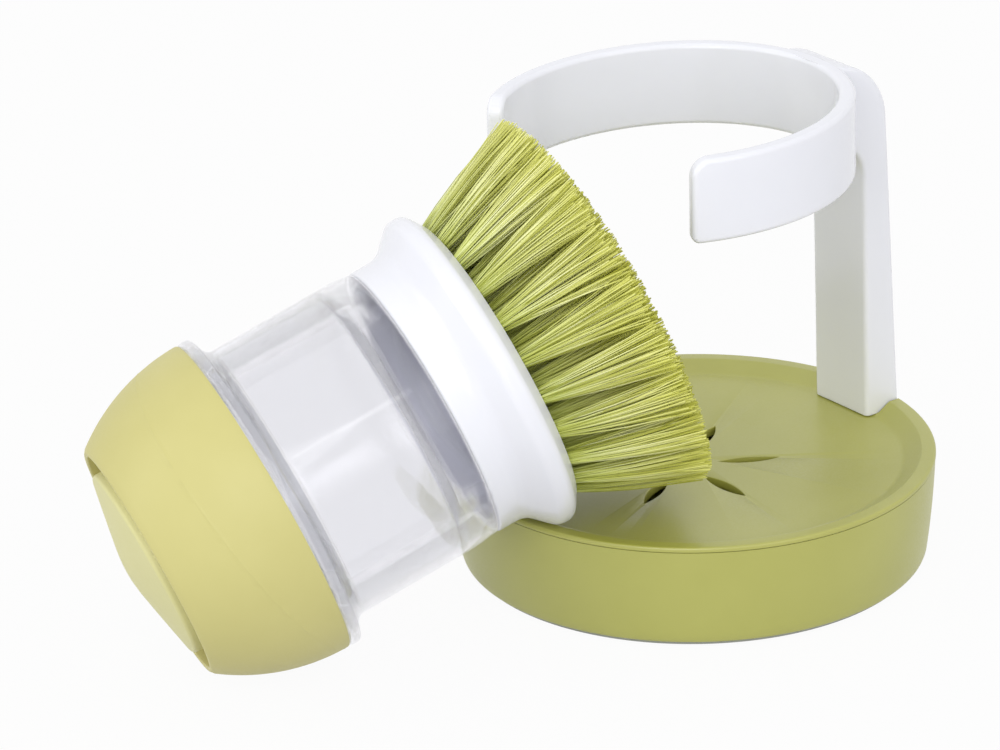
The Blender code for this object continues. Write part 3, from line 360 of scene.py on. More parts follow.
RIM_INNER = 47.06
DISH_TOP = 20.4
DISH_UNDER = 18.6
DISH_FLOOR_RADIUS = 43.36
SKIRT_RADIUS = 47.06
SKIRT_WALL = 1.4
SKIRT_DEPTH = 4.0
SLOT_COUNT = 6
SLOT_START = 7.8
SLOT_LENGTH = 13.0
SLOT_WIDTH = 2.8
SLOT_ARC_SIDES = 320            # facets of a whole cylinder, of which a slot takes a short arc
SLOT_FLARE_DEPTH = 0.25         # the rise of the flare's first three steps
SLOT_FLARE = ((0.12, 0.03), (0.08, 0.07), (0.05, 0.12), (1.0, 0.0))     # rise and widening
FACING_UP = 0.9                 # least z of the normal of a face on top
STAR_PLACE = (1.3, -4.5)        # middle of the star of slots, a little off the ring's
POST_WIDTH = 16.6
POST_INNER_FOOT = 43.63
TENON_WIDTH = 13.2
TENON_DEPTH = 3.9
TENON_UNDER = 14.9
SOCKET_WALL = 1.0
SOCKET_UNDER = 13.2
SOCKET_BITE = 0.8               # how far the socket's block runs up into the dish
SCREW_SPACING = 8.0
SCREW_HOLE_RADIUS = 1.2
OVERRUN = 1.0                   # of a cutter past the face that it opens


def carve(piece, tool, operation="DIFFERENCE"):
    """Cut a tool out of a piece, or join it on."""
    step = piece.modifiers.new(tool.name, "BOOLEAN")
    step.object = tool
    step.operation = operation
    step.solver = "EXACT"
    bpy.ops.object.select_all(action="DESELECT")
    bpy.context.view_layer.objects.active = piece
    bpy.ops.object.modifier_apply(modifier=step.name)
    bpy.data.objects.remove(tool)


def block(name, low, high):
    """A box between two corners in millimetres."""
    low, high = Vector(low) * MM, Vector(high) * MM
    bpy.ops.object.select_all(action="DESELECT")
    bpy.ops.mesh.primitive_cube_add(size=1.0, location=(low + high) / 2, scale=high - low)
    bpy.ops.object.transform_apply(location=True, rotation=True, scale=True)
    piece = bpy.context.object
    piece.name = name
    return piece


def rod(name, radius, centre, low, high, sides=48):
    """An upright cylinder between two heights, in millimetres."""
    bpy.ops.object.select_all(action="DESELECT")
    bpy.ops.mesh.primitive_cylinder_add(
        vertices=sides, radius=radius * MM, depth=(high - low) * MM,
        location=(centre[0] * MM, centre[1] * MM, (low + high) / 2 * MM))
    bpy.ops.object.transform_apply(location=True, rotation=True, scale=True)
    piece = bpy.context.object
    piece.name = name
    return piece


def drain_slot(turn):
    """Cutter for one drain slot: two crossed cylinders leave a lens, flared at its top."""
    half = SLOT_LENGTH / 2
    radius = (half ** 2 + (SLOT_WIDTH / 2) ** 2) / SLOT_WIDTH
    aside = radius - SLOT_WIDTH / 2
    middle = SLOT_START + half
    low, high = DISH_UNDER - OVERRUN, DISH_TOP - SLOT_FLARE_DEPTH
    slot = rod("drain_slot", radius, (middle, aside), low, high, SLOT_ARC_SIDES)
    carve(slot, rod("mate", radius, (middle, -aside), low, high, SLOT_ARC_SIDES), "INTERSECT")
    pick(slot)
    bpy.ops.object.mode_set(mode="EDIT")
    bpy.ops.mesh.select_mode(type="FACE")
    bpy.ops.mesh.select_all(action="DESELECT")
    bpy.ops.object.mode_set(mode="OBJECT")
    for face in slot.data.polygons:
        face.select = face.normal.z > FACING_UP
    bpy.ops.object.mode_set(mode="EDIT")
    for rise, widen in SLOT_FLARE:
        bpy.ops.mesh.extrude_region_move(TRANSFORM_OT_translate={"value": (0, 0, rise * MM)})
        bpy.ops.transform.resize(
            value=(1 + 2 * widen / SLOT_LENGTH, 1 + 2 * widen / SLOT_WIDTH, 1),
            center_override=(middle * MM, 0, 0))
    bpy.ops.mesh.select_all(action="SELECT")
    bpy.ops.transform.rotate(value=-turn, orient_axis="Z", center_override=(0, 0, 0))
    bpy.ops.transform.translate(value=(STAR_PLACE[0] * MM, STAR_PLACE[1] * MM, 0))
    bpy.ops.object.mode_set(mode="OBJECT")
    return slot


drip_tray = spun("green_drip_tray", (
    (0.0, DISH_TOP),
    (DISH_FLOOR_RADIUS, DISH_TOP, 2.5),
    (RIM_INNER, TRAY_HEIGHT, 0.8),
    (TRAY_RADIUS, TRAY_HEIGHT, 1.0),
    (TRAY_RADIUS, TRAY_HEIGHT - RIM_THICKNESS, 0.2),
    (SKIRT_RADIUS, TRAY_HEIGHT - RIM_THICKNESS),
    (SKIRT_RADIUS, TRAY_HEIGHT - RIM_THICKNESS - SKIRT_DEPTH),
    (SKIRT_RADIUS - SKIRT_WALL, TRAY_HEIGHT - RIM_THICKNESS - SKIRT_DEPTH),
    (SKIRT_RADIUS - SKIRT_WALL, DISH_UNDER),
    (0.0, DISH_UNDER),
), closed=False)
socket_half = TENON_WIDTH / 2 + PIECE_GAP + SOCKET_WALL
socket_back = math.sqrt(cup_side(SOCKET_UNDER, CUP_WALL + PIECE_GAP) ** 2 - socket_half ** 2)
tenon_back = socket_back - SOCKET_WALL - PIECE_GAP
tenon_front = tenon_back - TENON_DEPTH
screw_y = (tenon_front + tenon_back) / 2
carve(drip_tray, block("socket", (-socket_half, tenon_front - PIECE_GAP - SOCKET_WALL, SOCKET_UNDER),
                       (socket_half, socket_back, DISH_UNDER + SOCKET_BITE)), "UNION")
room_half = TENON_WIDTH / 2 + PIECE_GAP
carve(drip_tray, block("tenon_room", (-room_half, tenon_front - PIECE_GAP, TENON_UNDER - PIECE_GAP),
                       (room_half, tenon_back + PIECE_GAP, TRAY_HEIGHT + OVERRUN)))
notch_half = POST_WIDTH / 2 + PIECE_GAP
carve(drip_tray, block("rim_notch", (-notch_half, POST_INNER_FOOT - PIECE_GAP, DISH_TOP),
                       (notch_half, TRAY_RADIUS + OVERRUN, TRAY_HEIGHT + OVERRUN)))
for k in range(SLOT_COUNT):
    carve(drip_tray, drain_slot(math.tau * k / SLOT_COUNT))
for side in (-1, 1):
    carve(drip_tray, rod("screw_way", SCREW_HOLE_RADIUS, (side * SCREW_SPACING / 2, screw_y),
                         SOCKET_UNDER - OVERRUN, TENON_UNDER))
smooth(drip_tray)
drip_tray.data.materials.append(green_polypropylene)
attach(drip_tray, "stand_top")
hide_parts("drip_tray")


# Holder: a C-shaped ring that the bottle's collar hangs in, on a post that is screwed
# to the tray. Glossy white ABS in one moulding, with a tenon under the post.

RING_CENTRE_Y = -5.27
RING_HALF_X = 34.26
RING_HALF_Y = 39.49
RING_WALL = 3.47
RING_TOP = 100.0
RING_HEIGHT = 17.5
NEAR_ARM_SWEEP = math.radians(122.5)    # from the post to the end of the arm at +X
FAR_ARM_SWEEP = math.radians(139.0)
ARM_TOP_ROUNDING = 4.0          # of the arms' ends
ARM_UNDER_ROUNDING = 1.6
HOLDER_EDGE = 1.0
RING_LINE_STEPS = 400           # of the line that the bar is bent along
RING_CUTS = 120
POST_OUTER_FOOT = 49.3
POST_DRAFT = 0.055
POST_INNER_DRAFT = 0.022
POST_DEPTH = 7.2
POST_SHOULDER = 14.2
POST_FOOT_INSET = 0.5           # inside the tray's skirt, where the post steps down
BRIDGE_SINK = 0.9               # share of the ring's wall that the bridge runs into
ARCH_RADIUS = 9.0
TENON_BITE = 3.0                # how far the tenon's block runs up into the post
SCREW_LENGTH = 10.5
PILOT_ROOM = 1.0                # past the screw's tip
SAME_PLACE = 0.01               # two points nearer than this count as level with each other


def ring_point(sweep, inset=RING_WALL / 2, level=0.0):
    """Point of the ring in millimetres: its turn from the post and its depth in the wall."""
    angle = math.pi / 2 + sweep
    radius = 1 / math.hypot(math.cos(angle) / RING_HALF_X, math.sin(angle) / RING_HALF_Y) - inset
    return Vector((radius * math.cos(angle), RING_CENTRE_Y + radius * math.sin(angle), level))


def select_edges(piece, wanted):
    """Select in edit mode the edges whose two ends pass a test; leaves edit mode on."""
    pick(piece)
    bpy.ops.object.mode_set(mode="EDIT")
    bpy.ops.mesh.select_mode(type="EDGE")
    bpy.ops.mesh.select_all(action="DESELECT")
    bpy.ops.object.mode_set(mode="OBJECT")
    points = piece.data.vertices
    for edge in piece.data.edges:
        edge.select = wanted(points[edge.vertices[0]].co / MM, points[edge.vertices[1]].co / MM)
    bpy.ops.object.mode_set(mode="EDIT")


# The ring is a bar with rounded ends and edges, bent along the oval.
line = [ring_point(FAR_ARM_SWEEP - (FAR_ARM_SWEEP + NEAR_ARM_SWEEP) * k / RING_LINE_STEPS) * MM
        for k in range(RING_LINE_STEPS + 1)]
bar_length = sum((b - a).length for a, b in zip(line, line[1:])) / MM
ring_under = RING_TOP - RING_HEIGHT
holder = block("white_holder", (0, -RING_WALL / 2, ring_under), (bar_length, RING_WALL / 2, RING_TOP))
select_edges(holder, lambda a, b: abs(a.x - b.x) < SAME_PLACE
             and min(a.z, b.z) > RING_TOP - SAME_PLACE)
bpy.ops.mesh.bevel(offset=ARM_TOP_ROUNDING * MM, segments=12, affect="EDGES")
bpy.ops.object.mode_set(mode="OBJECT")
select_edges(holder, lambda a, b: abs(a.x - b.x) < SAME_PLACE
             and max(a.z, b.z) < ring_under + SAME_PLACE)
bpy.ops.mesh.bevel(offset=ARM_UNDER_ROUNDING * MM, segments=6, affect="EDGES")
bpy.ops.mesh.select_all(action="DESELECT")
bpy.ops.mesh.edges_select_sharp(sharpness=math.radians(60))
bpy.ops.mesh.bevel(offset=HOLDER_EDGE * MM, segments=5, affect="EDGES")
for k in range(1, RING_CUTS):
    bpy.ops.mesh.select_all(action="SELECT")
    bpy.ops.mesh.bisect(plane_co=(bar_length * MM * k / RING_CUTS, 0, 0), plane_no=(1, 0, 0))
bpy.ops.object.mode_set(mode="OBJECT")
oval = bpy.data.curves.new("ring_line", "CURVE")
oval.dimensions = "3D"
oval.twist_mode = "Z_UP"
spline = oval.splines.new("POLY")
spline.points.add(len(line) - 1)
for knot, point in zip(spline.points, line):
    knot.co = (*point, 1.0)
ring_line = bpy.data.objects.new("ring_line", oval)
bpy.context.scene.collection.objects.link(ring_line)
bend = holder.modifiers.new("bend", "CURVE")
bend.object = ring_line
bpy.ops.object.modifier_apply(modifier=bend.name)
bpy.data.objects.remove(ring_line)

post_outer_top = POST_OUTER_FOOT - POST_DRAFT * (RING_TOP - DISH_TOP)
arch_level = ring_under - ARCH_RADIUS
post_inner_top = POST_OUTER_FOOT - POST_DRAFT * (arch_level - DISH_TOP) - POST_DEPTH
post_inner_foot = post_inner_top + POST_INNER_DRAFT * (arch_level - DISH_TOP)
post_foot = DISH_TOP + PIECE_GAP
rim_foot = CUP_TOP + PIECE_GAP
foot_step = SKIRT_RADIUS - POST_FOOT_INSET
in_wall = RING_CENTRE_Y + RING_HALF_Y - BRIDGE_SINK * RING_WALL
post_side = rounded((
    (post_inner_foot, post_foot),
    (post_inner_top, ring_under, ARCH_RADIUS),
    (in_wall, ring_under),
    (in_wall, RING_TOP),
    (post_outer_top, RING_TOP, POST_SHOULDER),
    (POST_OUTER_FOOT, rim_foot),
    (foot_step, rim_foot),
    (foot_step, post_foot),
), steps=14)
post = draw("post", [*post_side, post_side[0]], plane="YZ")
bpy.ops.mesh.edge_face_add()
bpy.ops.mesh.extrude_region_move(TRANSFORM_OT_translate={"value": (POST_WIDTH * MM, 0, 0)})
bpy.ops.mesh.select_all(action="SELECT")
bpy.ops.transform.translate(value=(-POST_WIDTH / 2 * MM, 0, 0))
bpy.ops.mesh.normals_make_consistent(inside=False)
bpy.ops.object.mode_set(mode="OBJECT")
# Its long edges are rounded, but not in the ring's wall or on the rim.
select_edges(post, lambda a, b: abs(a.x - b.x) < SAME_PLACE and min(a.y, b.y) > in_wall - SAME_PLACE
             and max(a.y, b.y) > in_wall + SAME_PLACE and max(a.z, b.z) > rim_foot + SAME_PLACE)
bpy.ops.mesh.bevel(offset=HOLDER_EDGE * MM, segments=5, affect="EDGES")
bpy.ops.object.mode_set(mode="OBJECT")
carve(holder, post, "UNION")
carve(holder, block("tenon", (-TENON_WIDTH / 2, tenon_front, TENON_UNDER),
                    (TENON_WIDTH / 2, tenon_back, post_foot + TENON_BITE)), "UNION")
for side in (-1, 1):
    carve(holder, rod("pilot_hole", SCREW_HOLE_RADIUS, (side * SCREW_SPACING / 2, screw_y),
                      TENON_UNDER - OVERRUN, SOCKET_UNDER + SCREW_LENGTH + PILOT_ROOM))
smooth(holder, 30)
level_faces = holder.modifiers.new("level_faces", "WEIGHTED_NORMAL")
level_faces.keep_sharp = True
bpy.ops.object.modifier_apply(modifier=level_faces.name)

# ABS, moulded in a polished mould: glossy, a cool white that lets a little light in.
white_abs = moulded("glossy_white_abs", "EBECF3", "EDEEF5", 0.2, grain=1.2, depth=0.001)
shader = white_abs.node_tree.nodes["Principled BSDF"]
shader.inputs["Subsurface Weight"].default_value = 0.3
shader.inputs["Subsurface Radius"].default_value = (1.0, 1.0, 1.0)
shader.inputs["Subsurface Scale"].default_value = 2.5 * MM
holder.data.materials.append(white_abs)
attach(holder, "stand_top")
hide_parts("holder")


# Holder screws: two pan-head screws that go up through the tray's socket into the
# tenon. Stainless steel, turned and rolled.

# Stainless steel, machine turned: bare grey metal whose shine is broken by a fine grain.
steel, tree, shader = new_finish("turned_stainless_steel")
shader.inputs["Base Color"].default_value = hex_colour("CBC9C4")
shader.inputs["Metallic"].default_value = 1.0
place = add_node(tree, "TexCoord").outputs["Object"]
grain = add_node(tree, "TexNoise", {"Vector": place, "Scale": 1 / (0.3 * MM)})
spread = add_node(tree, "MapRange", {"Value": grain.outputs[0], "To Min": 0.22, "To Max": 0.38})
tree.links.new(spread.outputs[0], shader.inputs["Roughness"])
for name in ("holder_screw_left", "holder_screw_right"):
    screw = frame["nodes"][name]
    screw.data.materials.clear()
    screw.data.materials.append(steel)


# Bottle: the clear body that holds the soap, with a lip under the cap, a neck for the
# cap and one for the head. Copolyester, injection moulded with a 2 mm wall.

BRUSH_STEPS = 144
LIP_TOP = -0.3
LIP_UNDER = -2.6
LIP_RADIUS = 34.3
COVE_TOP = -2.8                 # of the curve that leads from the lip to the side
COVE_END = -4.8
COVE_REACH = 2.6
BOTTLE_RADIUS = 29.9
SIDE_END = -32.9
BOTTLE_INSIDE = 27.8
INSIDE_TOP = -4.0
INSIDE_END = -28.9
HEAD_BORE_START = -31.4
CAP_BORE_START = -1.1
BOTTLE_END = -36.9
BOTTLE_END_RADIUS = 29.4
CAP_NECK_RADIUS = 27.0
CAP_NECK_BORE = 25.2
CAP_NECK_TOP = 9.0
HEAD_NECK_RADIUS = 26.5
HEAD_NECK_BORE = 23.4
HEAD_NECK_END = -46.3
SEAL_LEVEL = -42.3
SEAL_ROOM = 0.85
SEAL_GROOVE_RADIUS = 25.2
STRAIGHT_SHARE = 0.5            # of the light, that the thin wall doesn't bend

# The brush's axis: z = 0 is the cap's rim, +z runs to the button and -z to the bristles.
# Brush pieces are drawn upright on it and then laid down on the stand.
cap_turn = next(joint for joint in frame["joints"] if joint["name"] == "cap_turn")
to_button = Vector(cap_turn["axis"]).normalized()
across = Vector((-to_button.y, to_button.x, 0)).normalized()
brush_place = Matrix((across, to_button.cross(across), to_button)).transposed().to_4x4()
brush_place.translation = Vector(cap_turn["pos_m"])


def lay_down(piece):
    """Move an upright brush piece to where the brush lies."""
    piece.matrix_world = brush_place
    pick(piece)
    bpy.ops.object.transform_apply(location=True, rotation=True, scale=True)


bottle = spun("clear_bottle", (
    (CAP_NECK_RADIUS, CAP_NECK_TOP, 0.3),
    (CAP_NECK_RADIUS, LIP_TOP, 0.3),
    (LIP_RADIUS, LIP_TOP, 0.8),
    (LIP_RADIUS, LIP_UNDER, 0.6),
    (BOTTLE_RADIUS + COVE_REACH, COVE_TOP, 0.8),
    (BOTTLE_RADIUS, COVE_END, 2.5),
    (BOTTLE_RADIUS, SIDE_END, 8.0),
    (BOTTLE_END_RADIUS, BOTTLE_END, 0.4),
    (HEAD_NECK_RADIUS, BOTTLE_END, 0.2),
    (HEAD_NECK_RADIUS, SEAL_LEVEL + SEAL_ROOM),
    (SEAL_GROOVE_RADIUS, SEAL_LEVEL + SEAL_ROOM),
    (SEAL_GROOVE_RADIUS, SEAL_LEVEL - SEAL_ROOM),
    (HEAD_NECK_RADIUS, SEAL_LEVEL - SEAL_ROOM),
    (HEAD_NECK_RADIUS, HEAD_NECK_END, 0.4),
    (HEAD_NECK_BORE, HEAD_NECK_END, 0.4),
    (HEAD_NECK_BORE, HEAD_BORE_START, 1.0),
    (BOTTLE_INSIDE, INSIDE_END, 1.2),
    (BOTTLE_INSIDE, INSIDE_TOP, 1.5),
    (CAP_NECK_BORE, CAP_BORE_START, 1.0),
    (CAP_NECK_BORE, CAP_NECK_TOP, 0.3),
), steps=BRUSH_STEPS)
lay_down(bottle)

# Copolyester, moulded: clear as glass, a little grey, with faint ripples of flow. The coat
# has its real IOR, 1.57, and the thin wall under it bends the view less.
clear_copolyester, tree, shader = new_finish("clear_copolyester")
shader.inputs["Base Color"].default_value = hex_colour("F5F5F7")
shader.inputs["Roughness"].default_value = 0.02
shader.inputs["IOR"].default_value = 1.22
shader.inputs["Coat Weight"].default_value = 1.0
shader.inputs["Coat Roughness"].default_value = 0.08
shader.inputs["Coat IOR"].default_value = 1.57
shader.inputs["Transmission Weight"].default_value = 1.0
place = add_node(tree, "TexCoord").outputs["Object"]
ripple = add_node(tree, "TexNoise", {"Vector": place, "Scale": 1 / (14 * MM), "Detail": 1.0})
bump = add_node(tree, "Bump", {"Height": ripple.outputs[0], "Distance": 0.12 * MM})
tree.links.new(bump.outputs[0], shader.inputs["Normal"])
# Its shadow is light, and half of what is behind it shows straight through.
through = add_node(tree, "BsdfTransparent", {"Color": hex_colour("F8F8FA")})
soft_light = any_ray(tree, "Is Shadow Ray", "Is Diffuse Ray")
straight = add_node(tree, "Math", {0: soft_light, 1: STRAIGHT_SHARE}, operation="MAXIMUM")
lit = add_node(tree, "MixShader", {0: straight.outputs[0], 1: shader.outputs[0], 2: through.outputs[0]})
tree.links.new(lit.outputs[0], tree.nodes["Material Output"].inputs["Surface"])
bottle.data.materials.append(clear_copolyester)
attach(bottle, "brush")
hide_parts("bottle")


# Head shell: the white collar that snaps on the bottle's neck and flares out to the
# flange round the bristles. Glossy ABS, moulded, with a floor that carries the valve.

COLLAR_TOP = -37.2
COLLAR_RADIUS = 29.5
FLARE_START = -43.5
FLARE_RADIUS = 34.6
HEAD_FACE = -54.0
HEAD_FACE_RADIUS = 31.0
HEAD_FACE_SLOPE = 2.4           # height of the slope from the flange's side to the face
HEAD_RECESS = 30.0
HEAD_FLOOR_TOP = -46.6
HEAD_FLOOR_UNDER = -48.6
NOZZLE_RADIUS = 4.6
COLLAR_BORE = 26.9

head_shell = spun("white_head_shell", (
    (COLLAR_RADIUS, COLLAR_TOP, 0.5),
    (COLLAR_RADIUS, FLARE_START, 5.0),
    (FLARE_RADIUS, FLARE_START - (FLARE_RADIUS - COLLAR_RADIUS), 3.0),
    (FLARE_RADIUS, HEAD_FACE + HEAD_FACE_SLOPE, 2.0),
    (HEAD_FACE_RADIUS, HEAD_FACE, 1.0),
    (HEAD_RECESS, HEAD_FACE),
    (HEAD_RECESS, HEAD_FLOOR_UNDER),
    (NOZZLE_RADIUS, HEAD_FLOOR_UNDER),
    (NOZZLE_RADIUS, HEAD_FLOOR_TOP),
    (COLLAR_BORE, HEAD_FLOOR_TOP),
    (COLLAR_BORE, COLLAR_TOP, 0.3),
), steps=BRUSH_STEPS, fillet=8)
lay_down(head_shell)
head_shell.data.materials.append(white_abs)
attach(head_shell, "brush")
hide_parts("head_shell")


# Inside the brush: the head's O-ring, plate, outlet valve and the ring that holds it, and
# under the cap its gasket, the core that screws on the neck, the diaphragm and its clamp.
# All are moulded, the seals of silicone and the rest of ABS and polypropylene.

# Silicone, moulded: milky and dull, soft to the touch.
silicone = moulded("milky_silicone", "D6DADA", "DEE1E1", 0.5, grain=0.8, depth=0.003)
shader = silicone.node_tree.nodes["Principled BSDF"]
shader.inputs["Subsurface Weight"].default_value = 0.2
shader.inputs["Subsurface Radius"].default_value = (0.002, 0.002, 0.002)

# ABS and polypropylene, moulded but not polished: an even dull white.
inner_white = moulded("unpolished_white_plastic", "E2E4E7", "E8EAEC", 0.42, grain=0.6, depth=0.004)
for name, finish in {"head_seal": silicone, "bristle_plate": inner_white, "outlet_valve": silicone,
                     "valve_retainer": inner_white, "cap_gasket": silicone, "cap_core": inner_white,
                     "clamp_ring": inner_white, "diaphragm": silicone}.items():
    frame["nodes"][name].data.materials.clear()
    frame["nodes"][name].data.materials.append(finish)


# Bristle face: the flat white disc in the head's recess that the tufts are stapled in.

FACE_RADIUS = 29.7
FACE_BORE = 8.5
FACE_TOP = -52.5
FACE_UNDER = -53.7

bristle_face = spun("white_bristle_face", (
    (FACE_RADIUS, FACE_TOP),
    (FACE_RADIUS, FACE_UNDER, 0.3),
    (FACE_BORE, FACE_UNDER, 0.3),
    (FACE_BORE, FACE_TOP),
), steps=BRUSH_STEPS)
lay_down(bristle_face)
bristle_face.data.materials.append(inner_white)
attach(bristle_face, "brush")


# Bristles: extruded nylon filaments, bundled in tufts that are stapled in rings and
# splay outwards. Each filament is a four-sided tube with its own bow, length and tone.

TUFT_RINGS = {
    # ring of the CAD: (radius, tufts, splay at the tips)
    "bristles_inner": ((11.7, 8, 1.33),),
    "bristles_middle": ((17.8, 14, 1.35), (23.0, 18, 1.36)),
    "bristles_outer": ((28.3, 22, 1.42),),
}
FILAMENTS = 125
FILAMENT_RADIUS = 0.135
FILAMENT_BENDS = 4
TUFT_ROOT_RADIUS = 1.6
TUFT_TIP_DEPTH = 3.1
TIP_OVERLAP = 1.05                      # of the neighbouring tufts' tips
ROOT_LEVEL = -53.2
TIP_LEVEL = -82.7
TIP_FLAT_RADIUS = 24.0
TIP_DROP = 3.2                          # the tips round off by this much
TIP_DROP_RUN = 18.0                     # in this much radius outside the flat middle
TIP_UNEVENNESS = 1.0
LOOSENESS = 0.35                        # how far a tip strays from its place in the tuft
STRAY_REACH = 2.4                       # and that of the few stray filaments
STRAY_SHARE = 0.06
BOW = 0.27
FLARE = 0.48                            # how far the outer tufts curve outwards
# Painted shade: the inner rings of tufts take only the darker tones, in place of the shade in the gaps
# among the tufts.
PAINTED_SHADE_RADIUS = 25.0                      # rings inside this radius use only
PAINTED_SHADE_TONES = 0.7                       # this share of the tones, from the darkest on
ARM_LEANS = [3 + 4 * k for k in range(7)]       # degrees back along the arm from its end
ARM_END_DEPTHS = (0.0, 0.5, 1.0)        # places on the arm's end, as shares of its wall
ARM_END_RISES = (0.1, 0.4, 0.7)         # and of its height
PRESS_SPAN = math.radians(16.0)         # each side of where the holder's arm leans on them
PRESS_ROOM = 0.8
OUTER_ROOT = 28.8                       # radii of the outermost filaments
OUTER_TIP = 43.6
MIX_A, MIX_B, MIX_RESULT = 6, 7, 2      # a Mix node's sockets for colours

bristle_length = ROOT_LEVEL - TIP_LEVEL
arm_points = [ring_point(FAR_ARM_SWEEP - math.radians(lean), RING_WALL, ring_under)
              for lean in ARM_LEANS]
arm_points += [ring_point(FAR_ARM_SWEEP, RING_WALL * depth, ring_under + RING_HEIGHT * rise)
               for depth in ARM_END_DEPTHS for rise in ARM_END_RISES]
to_brush = brush_place.inverted()
arm_points = [to_brush @ (point * MM) / MM for point in arm_points]


def pressed(radius, angle):
    """Radius of a tip once the holder's arm has pushed it inwards."""
    push = 0.0
    for point in arm_points:
        depth = (ROOT_LEVEL - point.z) / bristle_length
        away = abs((angle - math.atan2(point.y, point.x) + math.pi) % math.tau - math.pi)
        if 0.0 < depth < 1.0 and away < PRESS_SPAN:
            reach = OUTER_ROOT + (OUTER_TIP - OUTER_ROOT) * depth
            needed = (reach - point.xy.length + PRESS_ROOM) / depth
            push = max(push, needed * math.cos(away / PRESS_SPAN * math.pi / 2) ** 2)
    return radius - push * (radius / OUTER_TIP) ** 2


def filament_line(chance, ring, turn, splay, tip_spread):
    """Points of one filament of a tuft, in millimetres on the brush's axis."""
    out = Vector((math.cos(turn), math.sin(turn), 0))
    aside = Vector((-out.y, out.x, 0))
    spot_turn = chance.uniform(0, math.tau)
    spot_reach = math.sqrt(chance.random())
    outwards, sideways = math.cos(spot_turn) * spot_reach, math.sin(spot_turn) * spot_reach
    root = out * (ring + outwards * TUFT_ROOT_RADIUS) + aside * sideways * TUFT_ROOT_RADIUS
    root.z = ROOT_LEVEL
    tip = out * (ring * splay + outwards * TUFT_TIP_DEPTH) + aside * sideways * tip_spread
    loose = STRAY_REACH if chance.random() < STRAY_SHARE else LOOSENESS
    tip += Vector((chance.gauss(0, loose), chance.gauss(0, loose), 0))
    angle = math.atan2(tip.y, tip.x)
    reach = pressed(tip.xy.length, angle)
    tip = Vector((reach * math.cos(angle), reach * math.sin(angle), TIP_LEVEL))
    drop = TIP_DROP * (max(0.0, reach - TIP_FLAT_RADIUS) / TIP_DROP_RUN) ** 2
    drop += abs(chance.gauss(0, TIP_UNEVENNESS))
    run = (tip - root) * (1 - drop / bristle_length)
    bow = Vector((chance.gauss(0, BOW), chance.gauss(0, BOW), 0))
    bow += out * FLARE * (ring / OUTER_ROOT) ** 2
    return [root + run * k / FILAMENT_BENDS + bow * math.sin(math.pi * k / FILAMENT_BENDS)
            for k in range(FILAMENT_BENDS + 1)]


# Nylon, extruded and cut: a pale yellow-green, satin along the filament, duller at the
# root and creamier at the tip. A tone for each filament is kept with the mesh; the inner
# rings of tufts get only the darker tones, as painted shade for the gaps among the tufts.
nylon, tree, shader = new_finish("green_nylon_filament")
tone = add_node(tree, "Attribute", attribute_name="filament_tone_and_shade")
tones = add_node(tree, "ValToRGB", {"Fac": tone.outputs["Fac"]})
tones.color_ramp.elements.new(0.5)
for stop, colour in zip(tones.color_ramp.elements, ("ADB044", "DEE186", "F0F2B8")):
    stop.color = hex_colour(colour)
run = add_node(tree, "Attribute", attribute_name="root_to_tip")
ends = add_node(tree, "ValToRGB", {"Fac": run.outputs["Fac"]})
ends.color_ramp.elements.new(0.4)
for stop, colour in zip(ends.color_ramp.elements, ("E4EBC8", "FFFFFF", "FBF8C8")):
    stop.color = hex_colour(colour)
shaded = add_node(tree, "Mix", {"Factor": 1.0, MIX_A: tones.outputs[0], MIX_B: ends.outputs[0]},
                  data_type="RGBA", blend_type="MULTIPLY")
tree.links.new(shaded.outputs[MIX_RESULT], shader.inputs["Base Color"])
shader.inputs["Roughness"].default_value = 0.35
shader.inputs["IOR"].default_value = 1.53

for cad_name, rings in TUFT_RINGS.items():
    chance = random.Random(cad_name)
    strands = bpy.data.curves.new(cad_name, "CURVE")
    strands.dimensions = "3D"
    strands.bevel_depth = FILAMENT_RADIUS * MM
    strands.bevel_resolution = 0
    strands.use_fill_caps = True
    tone_and_shade_of = []
    for ring, count, splay in rings:
        for k in range(count):
            turn = math.tau * (k + 0.5) / count
            tip_spread = TIP_OVERLAP * math.pi * ring * splay / count
            for _ in range(FILAMENTS):
                points = filament_line(chance, ring, turn, splay, tip_spread)
                spline = strands.splines.new("POLY")
                spline.points.add(len(points) - 1)
                for knot, point in zip(spline.points, points):
                    knot.co = (*(brush_place @ (point * MM)), 1.0)
                # The inner rings draw only from the darker tones: painted shade among the tufts.
                tone_and_shade_of.append(chance.random() * (1.0 if ring > PAINTED_SHADE_RADIUS else PAINTED_SHADE_TONES))
    bundle = bpy.data.objects.new("green_" + cad_name, strands)
    bpy.context.scene.collection.objects.link(bundle)
    pick(bundle)
    bpy.ops.object.convert(target="MESH")
    bundle = bpy.context.object
    mesh = bundle.data
    each = len(mesh.vertices) // len(tone_and_shade_of)
    shades = mesh.attributes.new("filament_tone_and_shade", "FLOAT", "POINT")
    shades.data.foreach_set("value", np.repeat(tone_and_shade_of, each).astype(np.float32))
    spots = np.empty(len(mesh.vertices) * 3, np.float32)
    mesh.vertices.foreach_get("co", spots)
    levels = (spots.reshape(-1, 3) - brush_place.translation) @ np.array(to_button) / MM
    depths = mesh.attributes.new("root_to_tip", "FLOAT", "POINT")
    depths.data.foreach_set("value", ((ROOT_LEVEL - levels) / bristle_length).astype(np.float32))
    bpy.ops.object.mode_set(mode="EDIT")
    bpy.ops.mesh.select_all(action="SELECT")
    bpy.ops.mesh.remove_doubles(threshold=CLOSE)
    bpy.ops.object.mode_set(mode="OBJECT")
    smooth(bundle, 60)
    mesh.materials.append(nylon)
    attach(bundle, "brush")
    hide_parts(cad_name)


# Cap shell: the round green grip that fills the palm. Polypropylene with a soft-touch
# skin, moulded; the mouth at its end has a ledge that keeps the button in.

